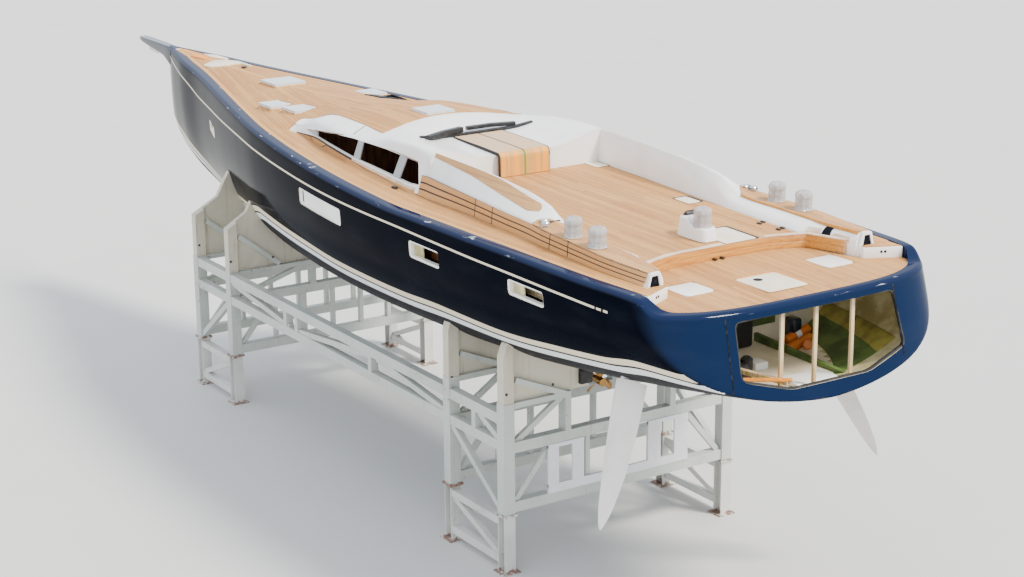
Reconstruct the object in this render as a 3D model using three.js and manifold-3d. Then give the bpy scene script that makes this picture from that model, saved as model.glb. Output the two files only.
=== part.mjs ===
// A large cruising sailing yacht without keel, mast or rig, standing on its steel transport cradle.
// Millimetres. +X points to the bow, +Y to port, +Z up. The floor is z = 0 and the origin lies on it.
import * as THREE from "three";
import { mergeVertices } from "three/addons/utils/BufferGeometryUtils.js";
import Module from "manifold-3d";

const wasm = await Module();
wasm.setup();

// Driving dimensions of the hull
const SEAT = 0.3; // gap left between pieces that rest on each other
const SHEER_MID = 6170; // height of the gunwale at x = 0
const SHEER_SLOPE = 0.0255; // rise of the gunwale towards the bow
const WALL = 60; // thickness of the hull's skin
const ROLL = 100; // radius of the gunwale's outer edge
const CAP_WIDTH = 250; // width of the gunwale cap amidships
const FLANGE = 100; // depth of the cap's inward flange
const STEM_X = 11350;
const CAVITY_BOW_X = 10900;
const TRANSOM_RAKE = 0.333; // the transom's foot lies aft of its head
const TRANSOM_TOP_Z = 5840;
const STERN = { start: -10900, depth: 1680, half: 2950, power: 3.5 }; // plan curve of the stern
const CLEAR_HALF = 4000; // outside the hull on either side
const BILGE_POWER = 0.62;

// Driving dimensions of the deck
const DECK_DROP = 20; // structural deck below the gunwale
const DECK_THICK = 50;
const TEAK = 12;
const BULKHEAD_X = -4400; // aft end of the coachroof
const STEP_X = -10200; // step from the cockpit sole down to the aft deck
const COAMING_END_X = -11300;
const SOLE_AFT_Z = 6110;
const SOLE_SLOPE = 0.0155;

// Driving dimensions of the moving pieces
const LID_GAP = 5; // clearance round lids
const PIN_RADIUS = LID_GAP - SEAT;
const STOCK_RADIUS = 70;
const STOCK_HOLE = 71;
const PROP_CENTRE = [-6900, 0, 2890];
const PROP_RADIUS = 310;

// Driving dimensions of the cradle
const CRADLE_HALF = 2488; // outer half width
const COLUMN = 220;
const LEG_TOP = 1070;
const PLATE = 20;
const CHORD = 160;
const LOWER_CHORD = [2240, 2420];
const UPPER_CHORD = [2720, 2910];
const FRAMES = { a: -7600, b: -5820, c: 3140, d: 4770 };

const FINISH = {
  hull: [0x0d1626, 0.15, 0.1],
  white: [0xe9e9e6, 0.35, 0],
  teak: [0xc49a6c, 0.7, 0],
  varnish: [0xb9772e, 0.35, 0],
  glass: [0xb9c0c4, 0.15, 0],
  film: [0xd8dadd, 0.25, 0],
  black: [0x16181a, 0.5, 0],
  wood: [0x8a5a34, 0.6, 0],
  pine: [0xd9c39a, 0.7, 0],
  green: [0x56894f, 0.6, 0],
  steel: [0xaab8b1, 0.55, 0.2],
  cream: [0xd6d3c2, 0.6, 0.1],
  bronze: [0x9b7a4a, 0.35, 0.9],
  engine: [0x8d9296, 0.5, 0.4],
};

// Columns: x, half breadth at the gunwale, height of the keel line, fullness of the section
const STATIONS = [
  [STEM_X, 45, 4720, 3.4],
  [CAVITY_BOW_X, 200, 4270, 3.4],
  [10200, 400, 3960, 3.4],
  [9400, 610, 3720, 3.4],
  [8000, 900, 3450, 3.4],
  [6600, 1240, 3260, 3.4],
  [5200, 1600, 3130, 3.4],
  [3400, 2050, 3040, 3.4],
  [2000, 2370, 3010, 3.4],
  [1500, 2465, 3005, 3.4],
  [500, 2630, 3005, 3.4],
  [-600, 2780, 3020, 3.4],
  [-1800, 2915, 3045, 3.35],
  [-2200, 2950, 3055, 3.3],
  [-2950, 3000, 3085, 3.25],
  [-3900, 3045, 3130, 3.2],
  [BULKHEAD_X, 3058, 3155, 3.2],
  [-5800, 3075, 3245, 3.1],
  [-7300, 3070, 3370, 3.0],
  [-8500, 3030, 3515, 2.9],
  [-9500, 2980, 3665, 2.85],
  [-10400, 2925, 3820, 2.8],
  [-11300, 2860, 3985, 2.8],
  [-12300, 2790, 4190, 2.8],
  [-13500, 2700, 4460, 2.8],
];

// Columns: x, then y and height above the gunwale of foot, shoulder, roof edge, mid and crown
const ROOF = [
  [1500, 1720, 0, 1620, 100, 1500, 190, 750, 370, 430],
  [500, 1750, 0, 1700, 270, 1500, 440, 750, 530, 570],
  [-600, 1930, 0, 1840, 390, 1560, 530, 780, 640, 670],
  [-1800, 2060, 0, 1920, 430, 1620, 600, 810, 700, 740],
  [-2200, 2090, 0, 1915, 440, 1650, 650, 825, 700, 720],
  [-2950, 2150, 0, 1910, 460, 1740, 750, 860, 620, 600],
  [-3900, 2170, 0, 1920, 460, 1790, 800, 880, 605, 590],
  [BULKHEAD_X, 2080, 0, 1960, 380, 1800, 800, 890, 600, 580],
];

// Columns: x, height of the crown above the gunwale, on the foredeck ahead of the coachroof
const FOREDECK = [
  [CAVITY_BOW_X, 10],
  [10200, 20],
  [9400, 30],
  [8000, 55],
  [6600, 85],
  [5200, 130],
  [3400, 240],
  [2000, 370],
];

// Columns: x, inner foot y, ridge y, ridge z, outer top y, outer top z, outer foot y
const COAMING = [
  [BULKHEAD_X, 1720, 1800, 6858, 1980, 6420, 2080],
  [-5800, 1690, 1790, 6830, 2060, 6390, 2100],
  [-7300, 1630, 1800, 6740, 2170, 6370, 2200],
  [-8000, 1600, 1820, 6640, 2200, 6360, 2240],
  [-8500, 1580, 1860, 6400, 2250, 6340, 2280],
  [-8900, 1570, 1875, 6340, 2270, 6330, 2295],
  [-9500, 1555, 1900, 6325, 2290, 6315, 2310],
  [STEP_X, 1560, 1925, 6298, 2298, 6288, 2325],
  [-10500, 1750, 1935, 6287, 2300, 6277, 2332],
  [COAMING_END_X, 1930, 1985, 6255, 2290, 6245, 2350],
];

// Straight-line interpolation in a table whose first column runs down
function lookUp(table, x, column) {
  const after = table.findIndex((row) => row[0] <= x);
  if (after === 0) return table[0][column];
  if (after < 0) return table[table.length - 1][column];
  const [upper, lower] = [table[after - 1], table[after]];
  const share = (x - lower[0]) / (upper[0] - lower[0]);
  return lower[column] + share * (upper[column] - lower[column]);
}

const sheer = (x) => SHEER_MID + SHEER_SLOPE * x;
const halfBreadth = (x) => lookUp(STATIONS, x, 1);
const capWidth = (x) => Math.min(CAP_WIDTH, halfBreadth(x) * 0.5);
const deckEdge = (x) => halfBreadth(x) - capWidth(x);
const soleHeight = (x) => SOLE_AFT_Z + (x - STEP_X) * SOLE_SLOPE;

// A closed surface from positions and triangles, turned to face outwards
function closedGeometry(positions, triangles) {
  let volume = 0;
  const [a, b, c] = [new THREE.Vector3(), new THREE.Vector3(), new THREE.Vector3()];
  for (const [i, j, k] of triangles) {
    a.fromArray(positions[i]);
    b.fromArray(positions[j]);
    c.fromArray(positions[k]);
    volume += a.dot(b.cross(c));
  }
  const faces = volume < 0 ? triangles.map(([i, j, k]) => [i, k, j]) : triangles;
  const geometry = new THREE.BufferGeometry();
  geometry.setAttribute("position", new THREE.Float32BufferAttribute(positions.flat(), 3));
  geometry.setIndex(faces.flat());
  return geometry;
}

const span = (a, b) => Math.hypot(a[0] - b[0], a[1] - b[1], a[2] - b[2]);

// The triangles that close a loft's end, wound with its outline or against it
function capFaces(outline, withOutline) {
  const contour = outline.map(([u, v]) => new THREE.Vector2(u, v));
  const turn = Math.sign(THREE.ShapeUtils.area(contour)) * (withOutline ? 1 : -1);
  return THREE.ShapeUtils.triangulateShape(contour, []).map(([i, j, k]) => {
    const own = Math.sign(THREE.ShapeUtils.area([contour[i], contour[j], contour[k]]));
    return own === turn ? [i, j, k] : [i, k, j];
  });
}

// A skin through sections that have the same number of points. Each section is an outline
// of [u, v] pairs and a function that places a pair in space. Each face is split along its
// shorter diagonal, so two skins at a constant distance stay parallel.
function loft(sections) {
  const count = sections[0].outline.length;
  const positions = sections.flatMap(({ outline, place }) => outline.map(([u, v]) => place(u, v)));
  const last = sections.length - 1;
  const triangles = [
    ...capFaces(sections[0].outline, false),
    ...capFaces(sections[last].outline, true).map((face) => face.map((n) => n + last * count)),
  ];
  for (let s = 0; s < last; s += 1) {
    for (let i = 0; i < count; i += 1) {
      const [p, q] = [s * count + i, s * count + ((i + 1) % count)];
      const far = span(positions[p], positions[q + count]) - span(positions[q], positions[p + count]);
      const split = far < -1e-6
        ? [[p, q, q + count], [p, q + count, p + count]]
        : [[p, q, p + count], [q, q + count, p + count]];
      triangles.push(...split);
    }
  }
  return closedGeometry(positions, triangles);
}

// Cross sections square to the x axis, as outlines of [y, z]
function loftAlongX(stations, outlineAt) {
  return loft(stations.map((x) => ({ outline: outlineAt(x), place: (y, z) => [x, y, z] })));
}

// A geometry with its doubled points joined
function welded(geometry) {
  const plain = geometry.clone();
  plain.deleteAttribute("normal");
  plain.deleteAttribute("uv");
  return mergeVertices(plain, 1e-3);
}

function solidOf(geometry) {
  const merged = welded(geometry);
  return new wasm.Manifold(
    new wasm.Mesh({
      numProp: 3,
      vertProperties: new Float32Array(merged.attributes.position.array),
      triVerts: new Uint32Array(merged.index.array),
    }),
  );
}

function geometryOf(solid) {
  const mesh = solid.getMesh();
  const geometry = new THREE.BufferGeometry();
  geometry.setAttribute("position", new THREE.Float32BufferAttribute(mesh.vertProperties, 3));
  geometry.setIndex(Array.from(mesh.triVerts));
  geometry.computeVertexNormals();
  return geometry;
}

const joined = (solids) => solids.reduce((whole, piece) => whole.add(piece));
const without = (whole, cuts) => cuts.reduce((rest, cut) => rest.subtract(cut), whole);

// Solids from ranges, outlines and end points
function box([x0, x1], [y0, y1], [z0, z1]) {
  const geometry = new THREE.BoxGeometry(x1 - x0, y1 - y0, z1 - z0);
  geometry.translate((x0 + x1) / 2, (y0 + y1) / 2, (z0 + z1) / 2);
  return solidOf(geometry);
}

function prism(outline, depth, turn) {
  const shape = new THREE.Shape(outline.map(([u, v]) => new THREE.Vector2(u, v)));
  const geometry = new THREE.ExtrudeGeometry(shape, { depth, bevelEnabled: false, curveSegments: 8 });
  if (turn) geometry.applyMatrix4(turn);
  return solidOf(geometry);
}

// Outline of [x, y], between two heights
const planPrism = (outline, z0, z1) =>
  prism(outline, z1 - z0, new THREE.Matrix4().makeTranslation(0, 0, z0));

// Outline of [y, z], between two places along x
const crossPrism = (outline, x0, x1) =>
  prism(outline, x1 - x0, new THREE.Matrix4().set(0, 0, 1, x0, 1, 0, 0, 0, 0, 1, 0, 0, 0, 0, 0, 1));

// Outline of [z, x], between two places along y
const sidePrism = (outline, y0, y1) =>
  prism(outline, y1 - y0, new THREE.Matrix4().set(0, 1, 0, 0, 0, 0, 1, y0, 1, 0, 0, 0, 0, 0, 0, 1));

// A frame with its z axis from one point towards another and its y axis as upright as it can be
function frameAlong(from, to) {
  const start = new THREE.Vector3(...from);
  const ahead = new THREE.Vector3(...to).sub(start).normalize();
  const upright = Math.abs(ahead.z) > 0.99 ? new THREE.Vector3(0, 1, 0) : new THREE.Vector3(0, 0, 1);
  const side = new THREE.Vector3().crossVectors(upright, ahead).normalize();
  const up = new THREE.Vector3().crossVectors(ahead, side);
  return new THREE.Matrix4().makeBasis(side, up, ahead).setPosition(start);
}

function bar(from, to, width, height) {
  const length = new THREE.Vector3(...from).distanceTo(new THREE.Vector3(...to));
  const geometry = new THREE.BoxGeometry(width, height, length);
  geometry.translate(0, 0, length / 2);
  geometry.applyMatrix4(frameAlong(from, to));
  return solidOf(geometry);
}

// A turned solid about the line between two points, with a profile of [radius, distance]
function turned(profile, from, to, segments) {
  const points = profile.map(([r, d]) => new THREE.Vector2(r, d));
  const geometry = new THREE.LatheGeometry(points, segments);
  geometry.rotateX(Math.PI / 2);
  geometry.applyMatrix4(frameAlong(from, to));
  const merged = welded(geometry);
  const flat = Array.from(merged.attributes.position.array);
  const positions = [];
  for (let i = 0; i < flat.length; i += 3) positions.push(flat.slice(i, i + 3));
  const index = Array.from(merged.index.array);
  const triangles = [];
  for (let i = 0; i < index.length; i += 3) {
    const face = index.slice(i, i + 3);
    if (new Set(face).size === 3) triangles.push(face);
  }
  return solidOf(closedGeometry(positions, triangles));
}

function rod(from, to, radius, segments = 20) {
  const length = new THREE.Vector3(...from).distanceTo(new THREE.Vector3(...to));
  return turned([[0, 0], [radius, 0], [radius, length], [0, length]], from, to, segments);
}

// Node making
const yacht = new THREE.Group();

function addNode(name, finish, solid) {
  const [color, roughness, metalness] = FINISH[finish];
  const material = new THREE.MeshStandardMaterial({ color, roughness, metalness });
  const mesh = new THREE.Mesh(geometryOf(solid), material);
  mesh.name = name;
  yacht.add(mesh);
}

const mirrored = (outline) => outline.map(([x, y]) => [x, -y]).reverse();
const bothSides = (half) => [...half, ...half.slice(0, -1).reverse().map(([y, z]) => [-y, z])];

// Hull sections. The half breadth grows from the keel line as a power curve of the height share.
const HEIGHT_SHARES = [0, 0.02, 0.06, 0.12, 0.2, 0.3, 0.42, 0.56, 0.72, 0.88];

function sectionHalf(x, inset) {
  const half = halfBreadth(x) - inset;
  const keel = lookUp(STATIONS, x, 2) + inset;
  const power = lookUp(STATIONS, x, 3);
  const rise = sheer(x) - keel;
  return HEIGHT_SHARES.map((share) => [
    half * (1 - (1 - share) ** power) ** BILGE_POWER,
    keel + share * rise,
  ]);
}

function outerHalf(x) {
  const half = halfBreadth(x);
  const top = sheer(x);
  const roll = Math.min(ROLL, half * 0.5);
  return [
    [half - roll, top],
    [half - roll * 0.3, top - roll * 0.25],
    [half, top - roll],
    ...sectionHalf(x, 0).slice(0, -1).reverse(),
  ];
}

function innerHalf(x, inset) {
  const half = halfBreadth(x) - inset;
  return [[half, sheer(x) - FLANGE - inset + WALL], ...sectionHalf(x, inset).slice(0, -1).reverse()];
}

// The hull's inside at a given distance from its outer skin
const insideOf = (inset) =>
  solidOf(loftAlongX(stationsBetween(CAVITY_BOW_X, -13400), (x) => bothSides(innerHalf(x, inset))))
    .intersect(sternPrism(inset, inset, 2500, 7000));

function sternOutline(insetDepth, insetHalf) {
  const [depth, half] = [STERN.depth - insetDepth, STERN.half - insetHalf];
  const steps = 14;
  const arc = Array.from({ length: steps + 1 }, (_, i) => {
    const across = Math.cos((Math.PI * i) / steps);
    const along = (1 - Math.abs(across) ** STERN.power) ** (1 / STERN.power);
    return [STERN.start - depth * along, half * across];
  });
  const wide = [[STERN.start, CLEAR_HALF]];
  return [[13000, -CLEAR_HALF], [13000, CLEAR_HALF], ...wide, ...arc, ...mirrored(wide)];
}

// The stern's plan curve carried down along the transom's rake
function sternPrism(insetDepth, insetHalf, z0, z1) {
  const at = (z) => ({
    outline: sternOutline(insetDepth, insetHalf),
    place: (x, y) => [x - (x < 0 ? (TRANSOM_TOP_Z - z) * TRANSOM_RAKE : 0), y, z],
  });
  return solidOf(loft([at(z0), at(z1)]));
}

const allStations = [...new Set([...STATIONS, ...COAMING].map((row) => row[0]))].sort((a, b) => b - a);

const stationsBetween = (x0, x1, stations = STATIONS.map((row) => row[0])) => [
  x0,
  ...stations.filter((x) => x < x0 && x > x1),
  x1,
];

const hullStations = STATIONS.map((row) => row[0]);
const hullBlock = solidOf(loftAlongX(hullStations, (x) => bothSides(outerHalf(x))))
  .intersect(sternPrism(0, 0, 2500, 7000));

function flangeOutline(x) {
  const edge = deckEdge(x);
  const top = sheer(x);
  return [[-edge, top - FLANGE - 50], [edge, top - FLANGE - 50], [edge, top + 300], [-edge, top + 300]];
}

const sternCap = 130; // width of the gunwale cap across the stern
const cavity = insideOf(WALL);
const deckHole = solidOf(loftAlongX(stationsBetween(CAVITY_BOW_X, -13400), flangeOutline))
  .intersect(planPrism(sternOutline(sternCap, CAP_WIDTH), 5000, 7500));

// Openings in the hull: columns x aft, x fore, z low aft, z low fore, height
const HULL_WINDOWS = [
  [-5880, -4900, 5200, 5200, 280],
  [-2440, -830, 5230, 5340, 300],
  [-9210, -8160, 5290, 5280, 260],
  [6000, 6500, 5200, 5320, 250],
];

function hullWindow([aft, fore, lowAft, lowFore, tall], y0, y1) {
  return sidePrism([[lowAft, aft], [lowFore, fore], [lowFore + tall, fore], [lowAft + tall, aft]], y0, y1);
}

const TRANSOM_OPENING = [[-780, 4600], [780, 4600], [1650, 4840], [1590, 5700], [-1590, 5700], [-1650, 4840]];

// Rudders: the stock runs down and out from the bottom, and the blade hangs on it
const RUDDER_ROOT = [-10250, 1880, 4290];
const RUDDER_TIP = [-10950, 2870, 2200];
const RUDDER_BLADE = [
  // distance down the stock, ahead of the stock, behind the stock, thickness
  [70, 190, 560, 120],
  [700, 185, 530, 105],
  [1500, 150, 430, 80],
  [2100, 95, 280, 52],
  [2370, 20, 120, 24],
];
const ROOT_FALL = 0.2;
const FOIL = [[1, 0], [0.75, 0.36], [0.3, 0.5], [-0.2, 0.36], [-0.7, 0.14], [-1, 0]];

function stockFrame(side) {
  const root = new THREE.Vector3(RUDDER_ROOT[0], side * RUDDER_ROOT[1], RUDDER_ROOT[2]);
  const tip = new THREE.Vector3(RUDDER_TIP[0], side * RUDDER_TIP[1], RUDDER_TIP[2]);
  const down = tip.clone().sub(root).normalize();
  const across = new THREE.Vector3().crossVectors(down, new THREE.Vector3(1, 0, 0)).normalize();
  const ahead = new THREE.Vector3().crossVectors(across, down);
  return { root, down, across, ahead };
}

function stockPoint(frame, distance) {
  return frame.root.clone().addScaledVector(frame.down, distance).toArray();
}

// The blade's head falls away aft, to clear the bottom as it turns
const rootDrop = (distance, along) => (distance < RUDDER_BLADE[1][0] ? Math.max(0, -along) * ROOT_FALL : 0);

function rudder(side) {
  const frame = stockFrame(side);
  const sections = RUDDER_BLADE.map(([distance, fore, back, thick]) => {
    const outline = FOIL.map(([along, half]) => [along > 0 ? along * fore : along * back, half * thick]);
    const under = outline.slice(1, -1).reverse().map(([u, v]) => [u, -v]);
    return {
      outline: [...outline, ...under],
      place: (u, v) =>
        new THREE.Vector3(...stockPoint(frame, distance + rootDrop(distance, u)))
          .addScaledVector(frame.ahead, u)
          .addScaledVector(frame.across, v)
          .toArray(),
    };
  });
  const stock = rod(stockPoint(frame, -200), stockPoint(frame, 120), STOCK_RADIUS, 32);
  return solidOf(loft(sections)).add(stock);
}

function stockCut(side) {
  const frame = stockFrame(side);
  return rod(stockPoint(frame, -600), stockPoint(frame, 400), STOCK_HOLE, 32);
}

const hullCuts = [
  cavity,
  deckHole,
  crossPrism(TRANSOM_OPENING, -13800, -12100),
  ...HULL_WINDOWS.flatMap((row) => [hullWindow(row, 700, 3400), hullWindow(row, -3400, -700)]),
  stockCut(1),
  stockCut(-1),
];
addNode("hull_shell", "hull", without(hullBlock, hullCuts));

// Bowsprit: a composite beak on the stem, its tip as far ahead of the origin as the transom's
// foot lies behind it. Outline of [z, x].
const tipX = -hullBlock.boundingBox().min[0];
const bowspritSide = [
  [6035, STEM_X + SEAT],
  [6190, 11620],
  [6290, 12350],
  [6400, tipX],
  [6475, tipX],
  [6455, STEM_X + SEAT],
];
addNode("bowsprit", "hull", sidePrism(bowspritSide, -130, 130));

// Deck surface: half outlines of [y, height above the gunwale less the drop], edge to centre
function surfaceHalf(x) {
  const base = sheer(x) - DECK_DROP;
  const edge = deckEdge(x) - SEAT;
  if (x <= ROOF[0][0]) {
    const at = (column) => lookUp(ROOF, x, column);
    return [
      [edge, base],
      [at(1), base + at(2)],
      [at(3), base + at(4)],
      [at(5), base + at(6)],
      [at(7), base + at(8)],
      [0, base + at(9)],
    ];
  }
  const crown = lookUp(FOREDECK, x, 1);
  const foot = edge * 0.88;
  const swell = (share) => [foot * share, base + crown * (1 - share * share) ** 2];
  return [[edge, base], swell(1), swell(0.75), swell(0.5), swell(0.25), swell(0)];
}

function layer(x0, x1, lift, thickness, narrow) {
  const outlineAt = (x) => {
    const half = surfaceHalf(Math.max(x, BULKHEAD_X));
    const upper = half.map(([y, z]) => [y, z + lift + thickness]);
    const lower = half.map(([y, z], i) => [i > 0 && i < 4 ? y - narrow : y, z + lift]);
    return [...bothSides(upper), ...bothSides(lower).reverse()];
  };
  return solidOf(loftAlongX(stationsBetween(x0, x1), outlineAt));
}

function sectionBelow(x) {
  const half = surfaceHalf(x).map(([y, z]) => [y, z - 5]);
  const floor = sheer(x) - DECK_DROP - DECK_THICK;
  return bothSides([[half[1][0], floor], ...half.slice(1)]);
}

// Window openings in the coachroof's sides, as outlines of [z, x]
const ROOF_WINDOWS = [
  [[6250, 800], [6440, 150], [6500, -1520], [6205, -1560]],
  [[6500, -1800], [6500, -2940], [6190, -3080], [6200, -1840]],
  [[6500, -3180], [6490, -3700], [6180, -3880], [6185, -3320]],
];

// Hatches. Columns: name, x, y, half length, half width, height of the flat frame, has a lid
const HATCHES = [
  ["forward", 5250, 0, 375, 375, 6460, true],
  ["port_fore", 3350, 1170, 300, 230, 6375, true],
  ["starboard_fore", 3350, -1170, 300, 230, 6375, true],
  ["port_aft", 2380, 1100, 300, 230, 6430, true],
  ["starboard_aft", 2380, -1100, 300, 230, 6430, false],
  ["middle", -1250, 0, 310, 310, 6875, true],
];
const HATCH_RIM = 40;
const LID_THICK = 30;

const hatchHole = ([, x, y, long, wide]) =>
  box([x - long, x + long], [y - wide, y + wide], [5900, 7200]);
const rimHole = ([, x, y, long, wide]) =>
  box([x - long - 3, x + long + 3], [y - wide - 3, y + wide + 3], [5900, 7200]);

// The flat rim that stands in each hatch's opening
function hatchFrame([, x, y, long, wide, top]) {
  const outer = box([x - long - 2, x + long + 2], [y - wide - 2, y + wide + 2], [top - 150, top]);
  const [inLong, inWide] = [long - HATCH_RIM, wide - HATCH_RIM];
  return outer.subtract(box([x - inLong, x + inLong], [y - inWide, y + inWide], [top - 200, top + 50]));
}

const deckForward = layer(CAVITY_BOW_X - SEAT, BULKHEAD_X, -DECK_THICK, DECK_THICK, 45);
const bulkhead = solidOf(loftAlongX([BULKHEAD_X + 60, BULKHEAD_X], sectionBelow));
const windowCuts = ROOF_WINDOWS.flatMap((row) => [sidePrism(row, 1350, 2700), sidePrism(row, -2700, -1350)]);

// Side decks beside the cockpit
function sideDeck(lift, thickness, innerGap, outerGap) {
  const stations = stationsBetween(BULKHEAD_X, COAMING_END_X, allStations);
  const outlineAt = (x) => {
    const [inner, outer] = [lookUp(COAMING, x, 6) + innerGap, deckEdge(x) - SEAT - outerGap];
    const z = sheer(x) - DECK_DROP + lift;
    return [[inner, z], [outer, z], [outer, z + thickness], [inner, z + thickness]];
  };
  return loftAlongX(stations, outlineAt);
}

const mirrorY = new THREE.Matrix4().makeScale(1, -1, 1);

function mirrorSolid(solid) {
  const mesh = solid.getMesh();
  const positions = [];
  for (let i = 0; i < mesh.vertProperties.length; i += 3) {
    const [x, y, z] = mesh.vertProperties.slice(i, i + 3);
    positions.push([x, -y, z]);
  }
  const triangles = [];
  for (let i = 0; i < mesh.triVerts.length; i += 3) {
    triangles.push(Array.from(mesh.triVerts.slice(i, i + 3)));
  }
  return solidOf(closedGeometry(positions, triangles));
}

const sidePort = solidOf(sideDeck(-DECK_THICK, DECK_THICK, SEAT, 0));
const deckStructure = joined([deckForward, bulkhead, sidePort, mirrorSolid(sidePort)]);
const deckCut = without(deckStructure, [...windowCuts, ...HATCHES.map(hatchHole)]);
addNode("deck_moulding", "white", joined([deckCut, ...HATCHES.map(hatchFrame)]));

// Teak planking on the foredeck, side decks and coachroof top
function teakOutline() {
  const fore = stationsBetween(CAVITY_BOW_X - 150, ROOF[0][0]).map((x) => [x, deckEdge(x) - 15]);
  const aft = stationsBetween(ROOF[0][0], BULKHEAD_X).map((x) => [x, deckEdge(x) - 15]);
  const foot = stationsBetween(ROOF[0][0] + 100, BULKHEAD_X).reverse()
    .map((x) => [x, lookUp(ROOF, x, 1) + 35]);
  return { outer: [...fore, ...aft.slice(1)], foot };
}

const ROOF_TEAK = [[1600, 1560], [700, 1480], [-600, 1520], [-1250, 1590], [-1950, 1590], [-2060, 800], [-2080, 0]];

function forwardTeak() {
  const { outer, foot } = teakOutline();
  const skin = layer(CAVITY_BOW_X - SEAT, BULKHEAD_X, SEAT, TEAK, 0);
  const half = [...outer, ...foot, ...ROOF_TEAK];
  const port = planPrism([[CAVITY_BOW_X - 150, 0], ...half], 5800, 7400);
  return skin.intersect(port.add(mirrorSolid(port)));
}

const sideTeak = solidOf(sideDeck(SEAT, TEAK, 30, 15));
const teakDeck = joined([forwardTeak(), sideTeak, mirrorSolid(sideTeak)]);
addNode("teak_foredeck", "teak", without(teakDeck, HATCHES.map(rimHole)));

// Hatch lids hinged along their fore edge
function hatchLid([, x, y, long, wide, top]) {
  const low = top + LID_GAP;
  const lid = box([x - long, x + long], [y - wide, y + wide], [low, low + LID_THICK]);
  const pins = [-0.6, 0.6].map((share) => {
    const middle = y + share * wide;
    return rod([x + long, middle - 40, low], [x + long, middle + 40, low], PIN_RADIUS, 12);
  });
  return joined([lid, ...pins]);
}

for (const row of HATCHES.filter((each) => each[6])) addNode(`hatch_lid_${row[0]}`, "glass", hatchLid(row));

// Coamings: a ridge beside the cockpit that runs on as a low box to the stern
function coamingSolid() {
  const stations = stationsBetween(BULKHEAD_X - SEAT, COAMING_END_X, allStations);
  const outlineAt = (x) => {
    const at = (column) => lookUp(COAMING, x, column);
    const low = sheer(x) - DECK_DROP - DECK_THICK;
    return [
      [at(1), low],
      [at(1), soleHeight(x) + TEAK + 10],
      [at(2), at(3)],
      [at(4), at(5)],
      [at(6), sheer(x) + 10],
      [at(6), low],
    ];
  };
  return solidOf(loftAlongX(stations, outlineAt));
}

const coaming = coamingSolid();
addNode("coaming_port", "white", coaming);
addNode("coaming_starboard", "white", mirrorSolid(coaming));

// Cockpit sole, its teak, and the varnished step down to the aft deck
function solePlate(lift, thickness, gap) {
  const stations = stationsBetween(BULKHEAD_X - 2 * SEAT, STEP_X, allStations);
  return solidOf(loftAlongX(stations, (x) => {
    const half = lookUp(COAMING, x, 1) - gap;
    const z = soleHeight(x) + lift;
    return [[-half, z], [half, z], [half, z + thickness], [-half, z + thickness]];
  }));
}

const coverDepth = 70; // the cover hangs this far aft of the bulkhead
const coverHalf = 550;
const coverFoot = box([BULKHEAD_X - coverDepth, BULKHEAD_X + 10], [-coverHalf - 5, coverHalf + 5], [6180, 6600]);
addNode("cockpit_sole", "white", solePlate(-DECK_THICK, DECK_THICK, SEAT));
addNode("teak_sole", "teak", solePlate(SEAT, TEAK, 15).subtract(coverFoot));

const aftDeckTop = (x) => sheer(x) - DECK_DROP;

function aftPlate(lift, thickness, sideGap, edgeGap) {
  const narrowStations = stationsBetween(STEP_X - SEAT, COAMING_END_X, allStations);
  const narrow = solidOf(loftAlongX(narrowStations, (x) => {
    const half = lookUp(COAMING, x, 1) - sideGap;
    const z = aftDeckTop(x) + lift;
    return [[-half, z], [half, z], [half, z + thickness], [-half, z + thickness]];
  }));
  const wide = solidOf(loftAlongX([COAMING_END_X - SEAT, -12300, -12700], (x) => {
    const half = deckEdge(x) - SEAT - edgeGap;
    const z = aftDeckTop(x) + lift;
    return [[-half, z], [half, z], [half, z + thickness], [-half, z + thickness]];
  }));
  const link = solidOf(loftAlongX([COAMING_END_X + 50, COAMING_END_X - 50], (x) => {
    const half = 1880;
    const z = aftDeckTop(x) + lift;
    return [[-half, z], [half, z], [half, z + thickness], [-half, z + thickness]];
  }));
  const edge = sternOutline(sternCap + SEAT + edgeGap, CAP_WIDTH + SEAT + edgeGap);
  return joined([narrow, wide, link]).intersect(planPrism(edge, 5000, 7500));
}

// Aft deck lids. Columns: name, x, y, half length, half width
const AFT_LIDS = [
  ["port", -11280, 1420, 290, 290],
  ["starboard", -11280, -1420, 290, 290],
];
const aftPanel = { x: -11680, y: 130, long: 420, wide: 400 };

const lidHole = ([, x, y, long, wide]) =>
  box([x - long, x + long], [y - wide, y + wide], [5600, 6050]);
const panelHole = box(
  [aftPanel.x - aftPanel.long, aftPanel.x + aftPanel.long],
  [aftPanel.y - aftPanel.wide, aftPanel.y + aftPanel.wide],
  [aftDeckTop(aftPanel.x) + 6, 6050],
);

const riser = box([STEP_X - 45, STEP_X - 2 * SEAT], [-1559, 1559], [aftDeckTop(STEP_X) + SEAT, SOLE_AFT_Z]);
addNode("step_riser", "varnish", riser);
addNode("aft_deck", "white", without(aftPlate(-DECK_THICK, DECK_THICK, SEAT, 0), AFT_LIDS.map(lidHole)));
const riserCut = box([STEP_X - 60, STEP_X + 10], [-1700, 1700], [5600, 6300]);
addNode("teak_aft_deck", "teak", without(aftPlate(SEAT, TEAK, 15, 15), [...AFT_LIDS.map(lidHole), panelHole, riserCut]));

function aftLid([, x, y, long, wide]) {
  const top = aftDeckTop(x) + TEAK;
  const lid = box(
    [x - long + LID_GAP, x + long - LID_GAP],
    [y - wide + LID_GAP, y + wide - LID_GAP],
    [top - LID_THICK, top],
  );
  const pins = [-0.6, 0.6].map((share) => {
    const middle = y + share * wide;
    const edge = x + long - LID_GAP;
    return rod([edge, middle - 40, top - PIN_RADIUS], [edge, middle + 40, top - PIN_RADIUS], PIN_RADIUS, 12);
  });
  return joined([lid, ...pins]);
}

for (const row of AFT_LIDS) addNode(`aft_lid_${row[0]}`, "white", aftLid(row));

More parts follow.
